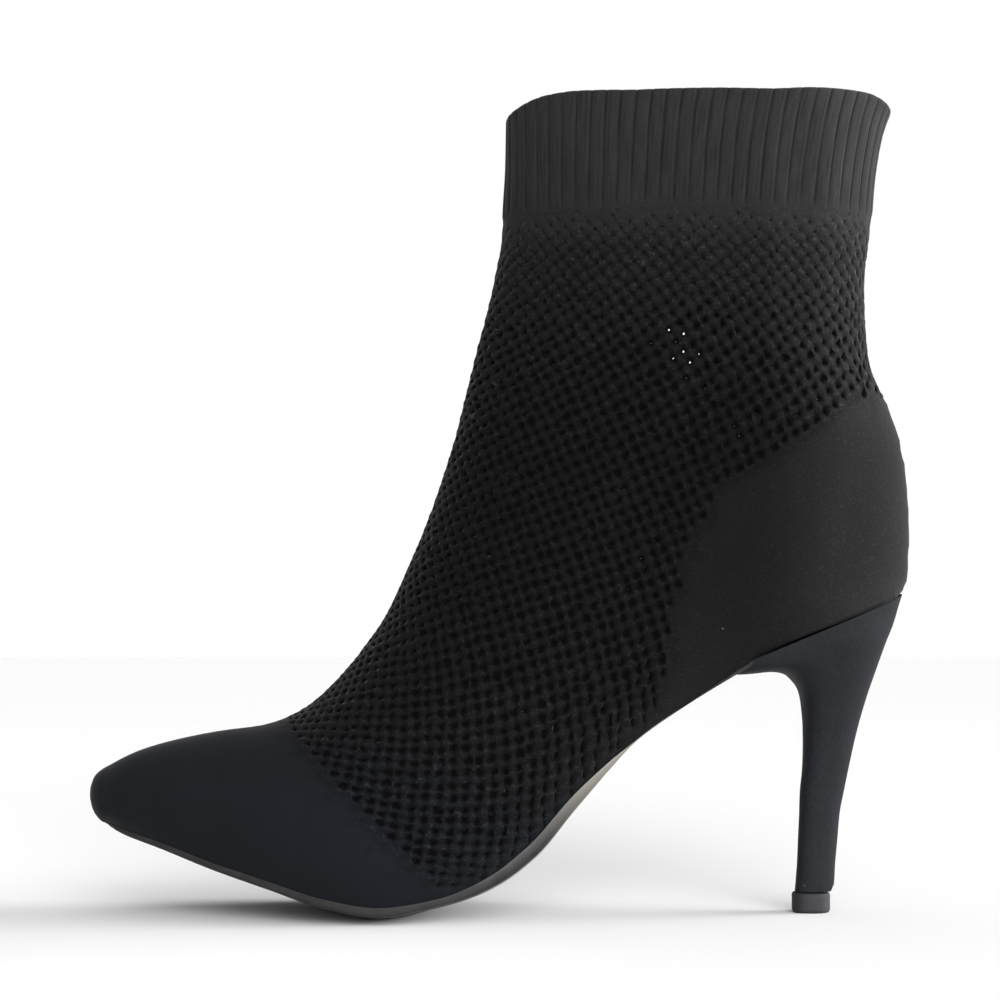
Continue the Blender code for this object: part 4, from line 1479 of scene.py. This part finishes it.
def grained_material(name, fixed, dark, light, scale, depth, roughness, stretch=(1.0, 1.0, 1.0), lint=()):
    """A covering with a fine grain or nap between two colours, and soft clouds of tone."""
    material, tree, shader, place = start_material(name, fixed)
    stretched = add_node(tree, "Mapping", {"Vector": place, "Scale": stretch})[0]
    grain = speckle(tree, stretched, scale, GRAIN_DETAIL)
    colour = blend(tree, ease(tree, grain, *GRAIN_LEVELS), rgba(dark), rgba(light))
    colour = clouded(tree, colour, place, GRAIN_CLOUDS)
    colour = lint_and_glint_specks(tree, place, colour, lint, HEEL_LINT_COLOUR)
    finish_material(tree, shader, colour, ease(tree, grain, *GRAIN_LEVELS, *roughness), grain, depth)
    return material


def make_surround():
    """White surround, brightest low in front, at the right and overhead; the camera sees it plain white."""
    world = bpy.data.worlds.new("white_surround")
    world.use_nodes = True
    tree = world.node_tree
    way = add_node(tree, "TexCoord", {})["Generated"]
    strength = SURROUND_ALL
    for lobe in SURROUND_LOBES:
        facing = add_node(tree, "VectorMath", {0: way, 1: lobe.way}, operation="DOT_PRODUCT")["Value"]
        facing = reckon(tree, "POWER", reckon(tree, "MAXIMUM", facing, 0.0), lobe.focus)
        strength = reckon(tree, "MULTIPLY_ADD", facing, lobe.strength, strength)
    seen = add_node(tree, "LightPath", {})["Is Camera Ray"]
    strength = add_node(tree, "Mix", {0: seen, 2: strength, 3: SURROUND_SEEN}, data_type="FLOAT")[0]
    background = tree.nodes["Background"]
    background.inputs["Color"].default_value = (1, 1, 1, 1)
    tree.links.new(strength, background.inputs["Strength"])
    bpy.context.scene.world = world


def make_studio():
    """Pale floor, white surround and a soft light overhead."""
    deselect_all()
    bpy.ops.mesh.primitive_plane_add(size=FLOOR_SIZE, location=(0, 0, 0))
    floor = bpy.context.object
    floor.name = "floor"
    material, tree, shader, place = start_material("pale_floor", FLOOR_FIXED)
    colour = blend(tree, speckle(tree, place, FLOOR_CLOUD, FLOOR_DETAIL), rgba(FLOOR_DARK), rgba(FLOOR_LIGHT))
    tree.links.new(colour, shader.inputs["Base Color"])
    floor.data.materials.append(material)
    for light in LIGHTS:
        way = mathutils.Vector(LIGHT_AIM) - mathutils.Vector(light.place)
        turn = way.to_track_quat("-Z", "Y").to_euler()
        bpy.ops.object.light_add(type="AREA", location=light.place, rotation=turn)
        lamp = bpy.context.object
        lamp.name = light.name
        lamp.data.size = light.size
        lamp.data.energy = light.watts
    make_surround()
    bpy.context.scene.view_settings.view_transform = "Standard"


def make_camera():
    """Camera at the photograph's place."""
    deselect_all()
    tilt = np.arctan2(CAMERA_AIM - CAMERA_HEIGHT, CAMERA_DISTANCE)
    place = (CAMERA_SIDE, -CAMERA_DISTANCE, CAMERA_HEIGHT)
    bpy.ops.object.camera_add(location=place, rotation=(np.pi / 2 + tilt, 0.0, 0.0))
    camera = bpy.context.object
    camera.data.sensor_width = SENSOR
    camera.data.lens = SENSOR * (CAMERA_DISTANCE / np.cos(tilt)) / PICTURE_WIDTH
    bpy.context.scene.camera = camera


make_body(knit_material())
make_cuff(cuff_material())
make_outsole(rubber_material())
make_insole(grained_material(
    "insole_cover", INSOLE_FIXED, INSOLE_DARK, INSOLE_LIGHT, INSOLE_GRAIN, INSOLE_DEPTH, INSOLE_ROUGHNESS))
make_heel(grained_material(
    "heel_cover", HEEL_FIXED, HEEL_DARK, HEEL_LIGHT, HEEL_NAP, HEEL_DEPTH, HEEL_ROUGHNESS,
    HEEL_NAP_STRETCH, HEEL_LINT))
make_tip(grained_material(
    "tip_plastic", TIP_FIXED, TIP_DARK, TIP_LIGHT, TIP_GRAIN, TIP_DEPTH, TIP_ROUGHNESS))
make_studio()
make_camera()
